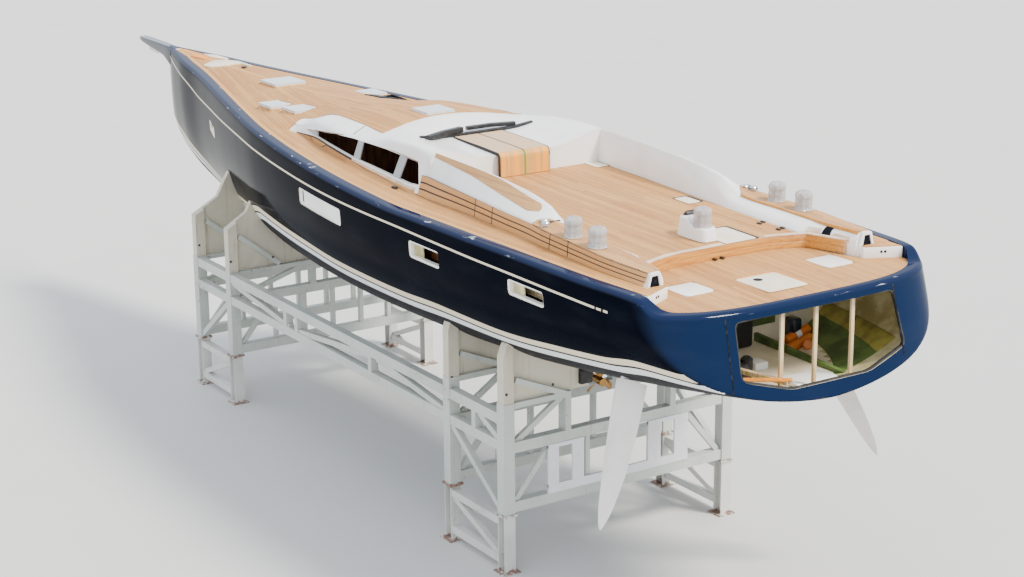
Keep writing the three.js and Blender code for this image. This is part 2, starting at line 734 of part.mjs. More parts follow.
const panelZ = aftDeckTop(aftPanel.x + aftPanel.long) + SEAT;
const panelBlock = box(
  [aftPanel.x - aftPanel.long + 4, aftPanel.x + aftPanel.long - 4],
  [aftPanel.y - aftPanel.wide + 4, aftPanel.y + aftPanel.wide - 4],
  [panelZ, panelZ + 14],
);
addNode("aft_panel", "cream", panelBlock.subtract(rod([-11470, 230, 5600], [-11470, 230, 6100], 60, 20)));

// Consoles that close the coamings' ends
function consoleSolid() {
  const start = COAMING_END_X - 2 * SEAT;
  const foot = aftDeckTop(start) + TEAK + 2 * SEAT;
  const outline = [[foot, start], [6240, start], [6235, start - 130], [5960, start - 560], [foot, start - 600]];
  const block = sidePrism(outline, 1950, 2300);
  const fore = start - 250;
  const aft = start - 620;
  const base = sidePrism([[foot, fore], [foot + 90, fore], [foot + 70, aft + 20], [foot, aft]], 1880, 2560);
  return block.add(base);
}

const consolePort = consoleSolid();
addNode("console_port", "white", consolePort);
addNode("console_starboard", "white", mirrorSolid(consolePort));

// Winches: drums wrapped for transport, two on each coaming and one on the pedestal
const WINCH_PROFILE = [[0, -25], [150, -25], [150, 40], [112, 70], [100, 170], [118, 255], [118, 290], [60, 330], [0, 345]];
const WINCHES = [
  ["port_fore", -9130, 2110, 6341],
  ["port_aft", -9810, 2120, 6322],
  ["starboard_fore", -9130, -2110, 6341],
  ["starboard_aft", -9810, -2120, 6322],
];
const PEDESTAL = { x: -9700, long: 370, wide: 185, top: 6470 };

// A winch upright on a point, with its foot cut to what it stands on
function winch([x, y, z], under) {
  return turned(WINCH_PROFILE, [x, y, z], [x, y, z + 1000], 18).subtract(under.translate([0, 0, SEAT]));
}

const coamings = coaming.add(mirrorSolid(coaming));
for (const [name, x, y, z] of WINCHES) addNode(`winch_${name}`, "film", winch([x, y, z], coamings));
const pedestalFoot = soleHeight(PEDESTAL.x + PEDESTAL.long) + TEAK + 2 * SEAT;
const pedestal = box(
  [PEDESTAL.x - PEDESTAL.long, PEDESTAL.x + PEDESTAL.long],
  [-PEDESTAL.wide, PEDESTAL.wide],
  [pedestalFoot, PEDESTAL.top],
);
addNode("winch_pedestal", "white", pedestal);
addNode("winch_pedestal_drum", "film", winch([PEDESTAL.x - 150, 0, PEDESTAL.top], pedestal));

// Companionway cover: a padded board over the opening, folded down to the sole
const coverSkin = layer(-2950, BULKHEAD_X - coverDepth, SEAT, 45, 0)
  .intersect(box([-4600, -2950], [-coverHalf, coverHalf], [6000, 7200]));
const coverApron = box([BULKHEAD_X - coverDepth, BULKHEAD_X - 2 * SEAT], [-coverHalf, coverHalf], [6215, 6660]);
addNode("companionway_cover", "varnish", coverSkin.add(coverApron));
const rail = layer(-2800, -2950 + SEAT, SEAT, 45, 0)
  .intersect(box([-2900, -2840], [-1250, 1250], [6000, 7200]));
addNode("roof_rail", "black", rail);

// Transom battens, bulkheads, floors and the engine
const BATTENS = [650, -50, -810];
const battenX = (z) => STERN.start - STERN.depth + WALL / 2 - (TRANSOM_TOP_Z - z) * TRANSOM_RAKE;
const transomGap = crossPrism(TRANSOM_OPENING, -13800, -12100);
const battenRoom = transomGap.translate([0, 0, SEAT]).intersect(transomGap.translate([0, 0, -SEAT]));
BATTENS.forEach((y, i) => {
  const [low, high] = [4500, 5800].map((z) => [battenX(z), y, z]);
  addNode(`transom_batten_${i + 1}`, "pine", bar(low, high, 60, 50).intersect(battenRoom));
});

// What fills the hull's inside up to its skin, for the plates that are fitted there
const fill = insideOf(WALL + 1);
const GARAGE_FLOOR = [4530, 4570];
const GARAGE_BULKHEAD_X = [-10040, -10000];
const CABIN_SOLE = [4250, 4290];
const ENGINE = { x: [-3700, -2300], y: [-420, 420], z: [3420, 4180] };

const garageFloor = fill.intersect(box([-13100, GARAGE_BULKHEAD_X[0] - SEAT], [-3000, 3000], GARAGE_FLOOR));
const stringer = box([-12300, GARAGE_BULKHEAD_X[0] - SEAT], [900, 980], [GARAGE_FLOOR[1] - 10, 4820]);
addNode("garage_floor", "green", joined([garageFloor, stringer, mirrorSolid(stringer)]));
addNode("garage_bulkhead", "white", fill.intersect(box(GARAGE_BULKHEAD_X, [-3200, 3200], [3000, 6500])));
addNode("garage_locker", "green", box([-10700, GARAGE_BULKHEAD_X[0] - SEAT], [500, 850], [GARAGE_FLOOR[1] + SEAT, 5350]));

const engineBed = box([ENGINE.x[0], ENGINE.x[1]], [250, 350], [3000, ENGINE.z[0] - SEAT]);
const bedTie = box([ENGINE.x[0], ENGINE.x[0] + 150], [-350, 350], [3000, ENGINE.z[0] - SEAT - 60]);
addNode("engine_beds", "white", fill.intersect(joined([engineBed, mirrorSolid(engineBed), bedTie])));
addNode("engine_block", "engine", box(ENGINE.x, ENGINE.y, ENGINE.z));
addNode("cabin_sole", "wood", fill.intersect(box([-4200, 7000], [-3000, 3000], CABIN_SOLE)));
const BULKHEADS = [["saloon_bulkhead_fore", 1560], ["saloon_bulkhead_aft", -4160]];
for (const [name, x] of BULKHEADS) {
  addNode(name, "wood", fill.intersect(box([x, x + 30], [-3200, 3200], [CABIN_SOLE[1] + SEAT, 6500])));
}

// The landing that the keel bolts to
const hullBelow = hullBlock.translate([0, 0, -2 * SEAT]);
addNode("keel_landing", "black", box([-1700, 1500], [-300, 300], [2930, 3100]).subtract(hullBelow));

// Rudders
addNode("rudder_port", "white", rudder(1));
addNode("rudder_starboard", "white", rudder(-1));

// Propeller shaft in its tube, the strut that carries it, and the propeller that turns
const SHAFT_SLOPE = 0.115;
const shaftPoint = (x) => [x, 0, PROP_CENTRE[2] + (x - PROP_CENTRE[0]) * SHAFT_SLOPE];
const STRUT_X = -6560;
const tube = rod(shaftPoint(-4300), shaftPoint(STRUT_X - 120), 42, 24);
const barrel = rod(shaftPoint(STRUT_X + 120), shaftPoint(STRUT_X - 120), 60, 24);
const strutLeg = box([STRUT_X - 80, STRUT_X + 80], [-16, 16], [PROP_CENTRE[2] + 20, 3500]);
const bearing = rod(shaftPoint(STRUT_X + 60), shaftPoint(STRUT_X - 200), 31, 24);
addNode("shaft_strut", "bronze", without(joined([tube, barrel, strutLeg]), [hullBelow, bearing]));

function propellerBlade(turn) {
  const blade = [[55, 90, 22], [150, 190, 16], [240, 200, 12], [PROP_RADIUS, 90, 6]].map(([radius, chord, thick], i) => {
    const pitch = 1.0 - 0.17 * i;
    const corners = [[-chord / 2, 0], [0, thick / 2], [chord / 2, 0], [0, -thick / 2]];
    return {
      outline: corners,
      place: (u, v) => {
        const ahead = u * Math.sin(pitch) + v * Math.cos(pitch);
        const across = u * Math.cos(pitch) - v * Math.sin(pitch);
        return [
          PROP_CENTRE[0] + ahead,
          across * Math.cos(turn) - radius * Math.sin(turn),
          PROP_CENTRE[2] + across * Math.sin(turn) + radius * Math.cos(turn),
        ];
      },
    };
  });
  return solidOf(loft(blade));
}

const hub = rod(shaftPoint(PROP_CENTRE[0] + 110), shaftPoint(PROP_CENTRE[0] - 110), 75, 24);
const shaftEnd = rod(shaftPoint(PROP_CENTRE[0] + 320), shaftPoint(PROP_CENTRE[0]), 30, 24);
const blades = [0, 1, 2].map((i) => propellerBlade((2 * Math.PI * i) / 3));
addNode("propeller", "bronze", joined([hub, shaftEnd, ...blades]));

// Cradle: a side frame of legs, columns and chords on each side
const INNER_FACE = CRADLE_HALF - COLUMN;
const SADDLE_BASE = { a: 3100, b: 3100, c: 2930, d: 2930 };
const chordY = [CRADLE_HALF - CHORD - 10, CRADLE_HALF - 10];

function leg(x) {
  const [x0, x1] = [x, x + COLUMN];
  const y = [INNER_FACE, CRADLE_HALF];
  const middle = (y[0] + y[1]) / 2;
  const z = [0, LEG_TOP];
  return joined([
    box([x0, x0 + PLATE], y, z),
    box([x1 - PLATE, x1], y, z),
    box([x0, x1], [middle - PLATE / 2, middle + PLATE / 2], z),
    box([x0 - 70, x1 + 70], [y[0] - 70, y[1] + 70], [0, PLATE]),
    box([x0 - 30, x1 + 30], [y[0] - 30, y[1] + 30], [LEG_TOP - PLATE, LEG_TOP + PLATE]),
  ]);
}

// Bays between frames. Columns: aft frame, fore frame, x shares of the verticals, has leg braces
const BAYS = [
  ["a", "b", [0.5], true],
  ["b", "c", [0.31, 0.655, 0.71], false],
  ["c", "d", [], true],
];
// Diagonals in the side frames. Columns: x aft, z aft, x fore, z fore
const DIAGONALS = [
  [-7380, 1150, -5820, 2240],
  [-7380, 2420, -6750, 2720],
  [-5600, 2420, -3140, 2720],
  [-2840, 2720, 50, 2420],
  [500, 2420, 3140, 2720],
  [3360, 2240, 4770, 1150],
  [-7380, 280, -5820, 870],
  [3360, 870, 4770, 280],
];

function sideFrame() {
  const pieces = Object.entries(FRAMES).flatMap(([key, x]) => [
    leg(x),
    box([x, x + COLUMN], [INNER_FACE, CRADLE_HALF], [LEG_TOP, SADDLE_BASE[key] - SEAT]),
  ]);
  for (const [aft, fore, posts, braced] of BAYS) {
    const x = [FRAMES[aft] + COLUMN - 20, FRAMES[fore] + 20];
    pieces.push(box(x, chordY, LOWER_CHORD), box(x, chordY, UPPER_CHORD));
    for (const share of posts) {
      const middle = x[0] + share * (x[1] - x[0]);
      pieces.push(box([middle - 60, middle + 60], chordY, [LOWER_CHORD[0], UPPER_CHORD[1]]));
    }
    if (braced) pieces.push(box(x, chordY, [870, 1000]), box(x, chordY, [160, 300]));
  }
  const middle = (chordY[0] + chordY[1]) / 2;
  for (const [xa, za, xf, zf] of DIAGONALS) {
    pieces.push(bar([xa - 20, middle, za], [xf + 20, middle, zf], 110, 110));
  }
  return joined(pieces);
}

const portFrame = sideFrame();
addNode("cradle_side_port", "steel", portFrame);
addNode("cradle_side_starboard", "steel", mirrorSolid(portFrame));

// Cross frames between the columns, with the shelves under the saddles and the sloping
// beams beside them. Columns: frame, inner post y, beam's outer z, inner y and inner z
const CROSSES = [
  ["a", 1080, 3500, 1130, 3040],
  ["b", 1080, 3500, 1130, 3040],
  ["c", 420, 3690, 1290, 2960],
  ["d", 420, 3690, 1290, 2960],
];
const CROSS_POSTS = [0, 700, 1400];
const BEAM_SIDE = 80; // width of the beams beside the saddles

function crossFrame([key, inner, beamZ, beamY, beamFoot]) {
  const x = [FRAMES[key] + 20, FRAMES[key] + COLUMN - 20];
  const thin = [FRAMES[key] + 60, FRAMES[key] + COLUMN - 60];
  const middle = FRAMES[key] + COLUMN / 2;
  const end = INNER_FACE - SEAT;
  const shelf = SADDLE_BASE[key] - SEAT;
  const beamX = FRAMES[key] + 15 + BEAM_SIDE / 2;
  const pieces = [box(x, [-end, end], [1110, 1300]), box(x, [-end, end], [2200, 2390])];
  for (const side of [1, -1]) {
    const range = (near, far) => (side > 0 ? [near, far] : [-far, -near]);
    pieces.push(box(x, range(inner, end), [shelf - 100, shelf]));
    pieces.push(box(x, range(inner, inner + 120), [2380, shelf - 50]));
    pieces.push(bar([middle, side * (end - 60), 2360], [middle, side * (inner + 100), shelf - 60], 80, 100));
    pieces.push(bar([beamX, side * (end - 50), beamZ], [beamX, side * beamY, beamFoot], BEAM_SIDE, 100));
    pieces.push(bar([middle, side * (end - 40), 1280], [middle, side * 1440, 2220], 80, 100));
    for (const y of CROSS_POSTS) pieces.push(box(thin, range(y - 45, y + 45), [1280, 2220]));
  }
  return joined(pieces);
}

// Saddles that follow the hull's bottom. Columns: frame, inner y, outer y, outer z, peak y, peak z
const SADDLES = [
  ["a", 660, 2480, 3950, 2400, 4140],
  ["b", 660, 2480, 3960, 2430, 4150],
  ["c", 400, 2480, 3880, 1990, 4180],
  ["d", 400, 2480, 3850, 1900, 4180],
];

function saddle([key, inner, outer, outerZ, peakY, peakZ]) {
  const base = SADDLE_BASE[key];
  const outline = [[inner, base], [outer, base], [outer, outerZ], [peakY, peakZ], [peakY - 300, 4700], [inner, 4700]];
  const [aft, fore] = [FRAMES[key] + 15, FRAMES[key] + COLUMN - 15];
  const beamRoom = box([aft - 5, aft + BEAM_SIDE + SEAT], [0, INNER_FACE], [base - 5, 4800]);
  return crossPrism(outline, aft, fore).subtract(beamRoom).subtract(hullBelow);
}

for (const row of CROSSES) addNode(`cradle_cross_${row[0]}`, "steel", crossFrame(row));
for (const row of SADDLES) {
  const port = saddle(row);
  addNode(`saddle_${row[0]}_port`, "cream", port);
  addNode(`saddle_${row[0]}_starboard`, "cream", mirrorSolid(port));
}

export default yacht;
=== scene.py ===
"""Looks of a large sailing yacht, without its keel and mast, that stands on a steel transport cradle.

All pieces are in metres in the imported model's frame: +X to the bow, +Y to port, +Z up, the floor at z = 0.
"""

import logging
import math
from dataclasses import dataclass, field
from enum import Enum
from typing import Callable, Sequence

import bmesh
import bpy
import numpy as np
from mathutils import Matrix, Vector


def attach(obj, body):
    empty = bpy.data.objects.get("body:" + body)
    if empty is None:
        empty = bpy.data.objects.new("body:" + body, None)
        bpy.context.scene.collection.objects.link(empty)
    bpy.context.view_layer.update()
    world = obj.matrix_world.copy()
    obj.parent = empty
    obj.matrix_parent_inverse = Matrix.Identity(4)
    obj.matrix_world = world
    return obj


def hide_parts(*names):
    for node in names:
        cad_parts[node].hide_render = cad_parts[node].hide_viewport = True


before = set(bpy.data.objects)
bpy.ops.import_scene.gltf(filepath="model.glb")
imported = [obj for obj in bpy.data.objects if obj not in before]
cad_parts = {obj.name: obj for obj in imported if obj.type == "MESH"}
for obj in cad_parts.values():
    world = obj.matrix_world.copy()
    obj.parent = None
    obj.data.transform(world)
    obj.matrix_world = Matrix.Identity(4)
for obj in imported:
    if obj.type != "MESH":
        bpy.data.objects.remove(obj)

LOG = logging.getLogger("yacht")
ROOT = "yacht"
# How far a layer stays clear of what it lies on or butts against
LAYER_GAP = 0.0003
Array = np.ndarray
Colour = tuple[float, float, float]


class Plane(Enum):
    """The plane of an outline, and the axis along which it is drawn out."""

    XY = "outline of x, y, drawn out along z"
    YZ = "outline of y, z, drawn out along x"
    XZ = "outline of x, z, drawn out along y"


class Side(Enum):
    """A side of the yacht and the sign of its y."""

    PORT = 1
    STARBOARD = -1

    @property
    def word(self) -> str:
        """The side's name in lower case."""
        return self.name.lower()


# Curves and grids


def smooth_table(rows: Sequence[Sequence[float]]) -> Callable[[Array], Array]:
    """Makes a smooth function through a table whose first column is the position.

    Between two rows it is a cubic whose end slopes are the harmonic mean of the neighbouring
    slopes, and zero where the table turns, so it never overshoots a row.

    Args:
        rows: the table, in either order of its first column.

    Returns:
        A function from positions to an array with one more axis, for the other columns.
    """
    table = np.array(sorted(rows), float)
    x, y = table[:, 0], table[:, 1:]
    step = np.diff(x)[:, None]
    slope = np.diff(y, axis=0) / step
    tangent = np.zeros_like(y)
    product = slope[:-1] * slope[1:]
    total = slope[:-1] + slope[1:]
    safe = np.where(np.abs(total) > 1e-12, total, 1)
    tangent[1:-1] = np.where(product > 0, 2 * product / safe, 0)
    tangent[0], tangent[-1] = slope[0], slope[-1]

    def at(where: Array) -> Array:
        """The table's columns at these positions."""
        q = np.clip(np.asarray(where, float), x[0], x[-1])
        i = np.clip(np.searchsorted(x, q, side="right") - 1, 0, len(x) - 2)
        h = step[i, 0]
        t = (q - x[i]) / h
        t, h = t[..., None], h[..., None]
        rise = (2 * t**3 - 3 * t**2 + 1) * y[i] + (3 * t**2 - 2 * t**3) * y[i + 1]
        lean = (t**3 - 2 * t**2 + t) * tangent[i] + (t**3 - t**2) * tangent[i + 1]
        return rise + h * lean

    return at


def spline(points: Array, share: Array) -> Array:
    """A Catmull-Rom curve through points, for many rows of points at once.

    Args:
        points: an array (rows, count, dims).
        share: positions from 0 to count - 1.

    Returns:
        An array (rows, len(share), dims).
    """
    before = 2 * points[:, :1] - points[:, 1:2]
    after = 2 * points[:, -1:] - points[:, -2:-1]
    padded = np.concatenate([before, points, after], axis=1)
    i = np.clip(np.floor(share).astype(int), 0, points.shape[1] - 2)
    t = (share - i)[None, :, None]
    a, b, c, d = (padded[:, i + k] for k in range(4))
    return 0.5 * (2 * b + (c - a) * t + (2 * a - 5 * b + 4 * c - d) * t**2 + (3 * b - a - 3 * c + d) * t**3)


def rounded_rows(corners: Array, radius: float | Sequence[float], steps: int = 6) -> Array:
    """Rounds the corners of many closed outlines at once by quadratic arcs.

    Each corner p becomes the curve from p - r*d1 over p to p + r*d2, with d1 and d2 the
    directions of its two sides, and r at most 0.45 of the shorter side.

    Args:
        corners: an array (rows, corners, 2).
        radius: how far from each corner the arc starts, one value or one for each.
        steps: how many points each arc has.

    Returns:
        An array (rows, corners * steps, 2).
    """
    into, out = corners - np.roll(corners, 1, axis=1), np.roll(corners, -1, axis=1) - corners
    near = np.maximum(np.linalg.norm(into, axis=2), 1e-9)
    far = np.maximum(np.linalg.norm(out, axis=2), 1e-9)
    size = np.broadcast_to(np.asarray(radius, float), corners.shape[1])
    cut = np.minimum(size[None], 0.45 * np.minimum(near, far))[..., None]
    start, end = corners - cut * into / near[..., None], corners + cut * out / far[..., None]
    t = np.linspace(0, 1, steps)[None, None, :, None]
    arc = (1 - t) ** 2 * start[:, :, None] + 2 * t * (1 - t) * corners[:, :, None] + t**2 * end[:, :, None]
    return arc.reshape(len(corners), -1, 2)


def rounded(corners: Sequence[Sequence[float]], radius: float | Sequence[float], steps: int = 6) -> Array:
    """One closed outline with its corners rounded, as rounded_rows does it."""
    return rounded_rows(np.array(corners, float)[None], radius, steps)[0]


def grid_faces(rows: int, columns: int, wrap: bool = False) -> Array:
    """The quads of a grid of rows and columns of points, joined round the columns if wrap."""
    r = np.arange(rows - 1)[:, None]
    c = np.arange(columns if wrap else columns - 1)[None, :]
    right = (c + 1) % columns
    quads = [r * columns + c, r * columns + right, (r + 1) * columns + right, (r + 1) * columns + c]
    return np.stack(np.broadcast_arrays(*quads), axis=-1).reshape(-1, 4)


def slab(upper: Array, lower: Array) -> tuple[Array, list]:
    """A closed solid between two grids of the same shape (rows, columns, 3).

    Returns:
        Its vertices and faces: both grids and a wall round their common edge.
    """
    rows, columns = upper.shape[:2]
    count = rows * columns
    quads = grid_faces(rows, columns)
    index = np.arange(count).reshape(rows, columns)
    ring = np.concatenate([index[0], index[1:, -1], index[-1, -2::-1], index[-2:0:-1, 0]])
    after = np.roll(ring, -1)
    wall = np.stack([ring, after, after + count, ring + count], axis=1)
    vertices = np.concatenate([upper.reshape(-1, 3), lower.reshape(-1, 3)])
    return vertices, np.concatenate([quads, quads[:, ::-1] + count, wall]).tolist()


def normals_of(points: Array) -> Array:
    """Unit normals of a grid, the cross product of its row and column differences, turned up."""
    along, across = np.gradient(points, axis=0), np.gradient(points, axis=1)
    normal = np.cross(along, across)
    normal /= np.maximum(np.linalg.norm(normal, axis=-1, keepdims=True), 1e-9)
    return normal * np.where(normal[..., 2:].sum() < 0, -1, 1)


def placed(outline: Array, plane: Plane, depth: float | Array) -> Array:
    """Outline points set into space at a depth along the plane's own axis."""
    u, v = outline[:, 0], outline[:, 1]
    w = np.broadcast_to(np.asarray(depth, float), u.shape)
    order = {Plane.XY: (u, v, w), Plane.YZ: (w, u, v), Plane.XZ: (u, w, v)}[plane]
    return np.stack(order, axis=-1)


def between(near: Array, far: Array) -> tuple[Array, list]:
    """A closed solid between two outlines with as many points: its two caps and its walls."""
    count = len(near)
    ring = np.arange(count)
    after = np.roll(ring, -1)
    walls = np.stack([ring, after, after + count, ring + count], axis=1).tolist()
    return np.concatenate([near, far]), [ring[::-1].tolist(), (ring + count).tolist(), *walls]


def prism(outline: Array, plane: Plane, low: float, high: float) -> tuple[Array, list]:
    """A closed prism: an outline at two depths."""
    return between(placed(outline, plane, low), placed(outline, plane, high))


def rectangle(low: Sequence[float], high: Sequence[float]) -> Array:
    """The corners of a rectangle between two of them, in two dimensions."""
    return np.array([(low[0], low[1]), (high[0], low[1]), (high[0], high[1]), (low[0], high[1])], float)


def bar(wide: float, tall: float, radius: float, steps: int = 6) -> Array:
    """A bar's profile about its middle: a rectangle with rounded corners, from its half sizes."""
    return rounded(rectangle((-wide, -tall), (wide, tall)), radius, steps)


def block(low: Sequence[float], high: Sequence[float]) -> tuple[Array, list]:
    """A box between two corners."""
    return prism(rectangle(low, high), Plane.XY, low[2], high[2])


def ways_along(path: Array) -> Array:
    """Unit tangents at the points of a path."""
    way = np.gradient(path, axis=0)
    return way / np.linalg.norm(way, axis=1, keepdims=True)


def tube(rings: Array) -> tuple[Array, list]:
    """A closed solid through rings of points (rows, count, 3), with flat ends."""
    rows, count = rings.shape[:2]
    last = (rows - 1) * count
    caps = [list(range(count))[::-1], list(range(last, last + count))]
    return rings.reshape(-1, 3), grid_faces(rows, count, wrap=True).tolist() + caps


def hoop(rings: Array) -> tuple[Array, list]:
    """A closed band through rings of points (rows, count, 3), the last joined to the first."""
    rows, count = rings.shape[:2]
    return rings.reshape(-1, 3), (grid_faces(rows + 1, count, wrap=True) % (rows * count)).tolist()


def swept(path: Array, profile: Array, upright: Sequence[float] = (0, 0, 1)) -> tuple[Array, list]:
    """A closed solid: a profile of (side, up) points carried along a path, with flat ends."""
    tangent = ways_along(path)
    side = np.cross(tangent, np.asarray(upright, float))
    side /= np.maximum(np.linalg.norm(side, axis=1, keepdims=True), 1e-9)
    up = np.cross(side, tangent)
    return tube(path[:, None] + profile[None, :, :1] * side[:, None] + profile[None, :, 1:] * up[:, None])


def circle(radius: float, sides: int = 16) -> Array:
    """A circle's points."""
    angle = np.arange(sides) * 2 * math.pi / sides
    return radius * np.stack([np.cos(angle), np.sin(angle)], axis=1)


def lathe(profile: Sequence[Sequence[float]], centre: Sequence[float], sides: int = 32,
          axis: Sequence[float] = (0, 0, 1)) -> tuple[Array, list]:
    """A turned solid: a profile of (radius, height) turned about an axis through the centre."""
    shape = np.array(profile, float)
    way = np.asarray(axis, float) / np.linalg.norm(axis)
    helper = np.array([1.0, 0, 0]) if abs(way[0]) < 0.9 else np.array([0, 1.0, 0])
    a = np.cross(way, helper)
    a /= np.linalg.norm(a)
    b = np.cross(way, a)
    ring = circle(1, sides)
    spoke = ring[:, :1] * a + ring[:, 1:] * b
    rings = np.asarray(centre, float) + shape[:, None, :1] * spoke[None] + shape[:, None, 1:] * way
    return rings.reshape(-1, 3), grid_faces(len(shape), sides, wrap=True).tolist()


def merged(parts: Sequence[tuple[Array, list]]) -> tuple[Array, list]:
    """Several solids as one list of vertices and faces."""
    vertices, faces, base = [], [], 0
    for points, polygons in parts:
        vertices.append(points)
        faces += [[i + base for i in polygon] for polygon in polygons]
        base += len(points)
    return np.concatenate(vertices), faces


# Pieces


def raw_object(name: str, solid: tuple[Array, list]) -> bpy.types.Object:
    """An object from vertices and faces, welded, with its normals turned outwards."""
    vertices, faces = solid
    mesh = bpy.data.meshes.new(name)
    mesh.from_pydata(np.asarray(vertices, float).tolist(), [], [list(map(int, f)) for f in faces])
    work = bmesh.new()
    work.from_mesh(mesh)
    bmesh.ops.remove_doubles(work, verts=work.verts, dist=2e-5)
    bmesh.ops.dissolve_degenerate(work, edges=work.edges, dist=1e-5)
    bmesh.ops.recalc_face_normals(work, faces=work.faces)
    work.to_mesh(mesh)
    work.free()
    piece = bpy.data.objects.new(name, mesh)
    bpy.context.scene.collection.objects.link(piece)
    return piece


def applied(piece: bpy.types.Object) -> bpy.types.Object:
    """The same object with its modifiers made part of its mesh."""
    bpy.context.view_layer.update()
    graph = bpy.context.evaluated_depsgraph_get()
    mesh = bpy.data.meshes.new_from_object(piece.evaluated_get(graph))
    piece.modifiers.clear()
    piece.data = mesh
    return piece


def open_edges(mesh: bpy.types.Mesh) -> int:
    """How many edges of a mesh don't have exactly two faces."""
    edge_of = np.empty(len(mesh.loops), np.int32)
    mesh.loops.foreach_get("edge_index", edge_of)
    return int((np.bincount(edge_of, minlength=len(mesh.edges)) != 2).sum())


def cut_by(piece: bpy.types.Object, tool: bpy.types.Object, operation: str) -> bpy.types.Object:
    """Cuts a closed tool out of a closed piece, or keeps what they share, and removes the tool."""
    for each in (piece, tool):
        if open_edges(each.data):
            LOG.warning("%s isn't closed: %d open edges", each.name, open_edges(each.data))
    change = piece.modifiers.new("carve", "BOOLEAN")
    change.operation, change.solver, change.object = operation, "MANIFOLD", tool
    before = len(piece.data.polygons)
    applied(piece)
    if len(piece.data.polygons) in (0, before):
        LOG.warning("%s: %s by %s left %d faces", piece.name, operation, tool.name, len(piece.data.polygons))
    bpy.data.objects.remove(tool)
    return piece


def carved(piece: bpy.types.Object, cutters: Sequence[tuple[Array, list]],
           operation: str = "DIFFERENCE") -> bpy.types.Object:
    """Cuts closed solids out of a closed piece, or keeps what they share."""
    for i, cutter in enumerate(cutters):
        cut_by(piece, raw_object(f"{piece.name}_tool_{i}", cutter), operation)
    return piece


def bevelled(piece: bpy.types.Object, width: float, segments: int = 3, angle: float = 0.6) -> bpy.types.Object:
    """Rounds a piece's sharp edges."""
    change = piece.modifiers.new("bevel", "BEVEL")
    change.width, change.segments = width, segments
    change.limit_method, change.angle_limit = "ANGLE", angle
    return applied(piece)


def shaded(piece: bpy.types.Object, angle: float = 0.6) -> bpy.types.Object:
    """Shades a piece smooth, apart from edges sharper than an angle in radians."""
    piece.data.shade_smooth()
    piece.data.set_sharp_from_angle(angle=angle)
    return piece


def places_of(items: bpy.types.bpy_prop_collection, name: str) -> Array:
    """The places that a mesh's vertices or faces hold under a name, as an array (count, 3)."""
    values = np.empty(len(items) * 3, np.float32)
    items.foreach_get(name, values)
    return values.reshape(-1, 3)


def mapped(piece: bpy.types.Object, place: Callable[[Array], Array]) -> bpy.types.Object:
    """Gives a piece a UV map in metres, from a function of its face corners' places."""
    mesh = piece.data
    index = np.empty(len(mesh.loops), np.int32)
    mesh.loops.foreach_get("vertex_index", index)
    corners = places_of(mesh.vertices, "co")[index]
    layer = mesh.uv_layers.new(name="grain")
    layer.data.foreach_set("uv", place(corners).astype(np.float32).ravel())
    return piece


def finished(piece: bpy.types.Object, material: bpy.types.Material, body: str = ROOT,
             replaces: Sequence[str] = (), smooth: float = 0.6) -> bpy.types.Object:
    """Dresses a piece, hangs it on its body and reports it.

    Args:
        piece: the object.
        material: its material.
        body: the CAD body it rides on.
        replaces: the CAD nodes that it stands for.
        smooth: the angle in radians above which an edge stays sharp.

    Returns:
        The piece.
    """
    shaded(piece, smooth)
    if not any(piece.data.materials):
        piece.data.materials.clear()
        piece.data.materials.append(material)
        piece.data.polygons.foreach_set("material_index", np.zeros(len(piece.data.polygons), np.int32))
    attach(piece, body)
    if replaces:
        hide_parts(*replaces)
    LOG.info("%s: %d faces on %s", piece.name, len(piece.data.polygons), body)
    return piece


def made(name: str, solid: tuple[Array, list], material: bpy.types.Material, body: str = ROOT,
         bevel: float = 0.0, replaces: Sequence[str] = (), smooth: float = 0.6) -> bpy.types.Object:
    """A finished piece from vertices and faces, with its edges rounded if bevel is given."""
    piece = raw_object(name, solid)
    if bevel:
        bevelled(piece, bevel)
    return finished(piece, material, body, replaces, smooth)


# Shaders


def rgb(red: int, green: int, blue: int) -> Colour:
    """A linear colour from the usual 0 to 255 values of a colour chart."""
    return tuple(((c / 255 + 0.055) / 1.055) ** 2.4 if c > 10 else c / 3295 for c in (red, green, blue))


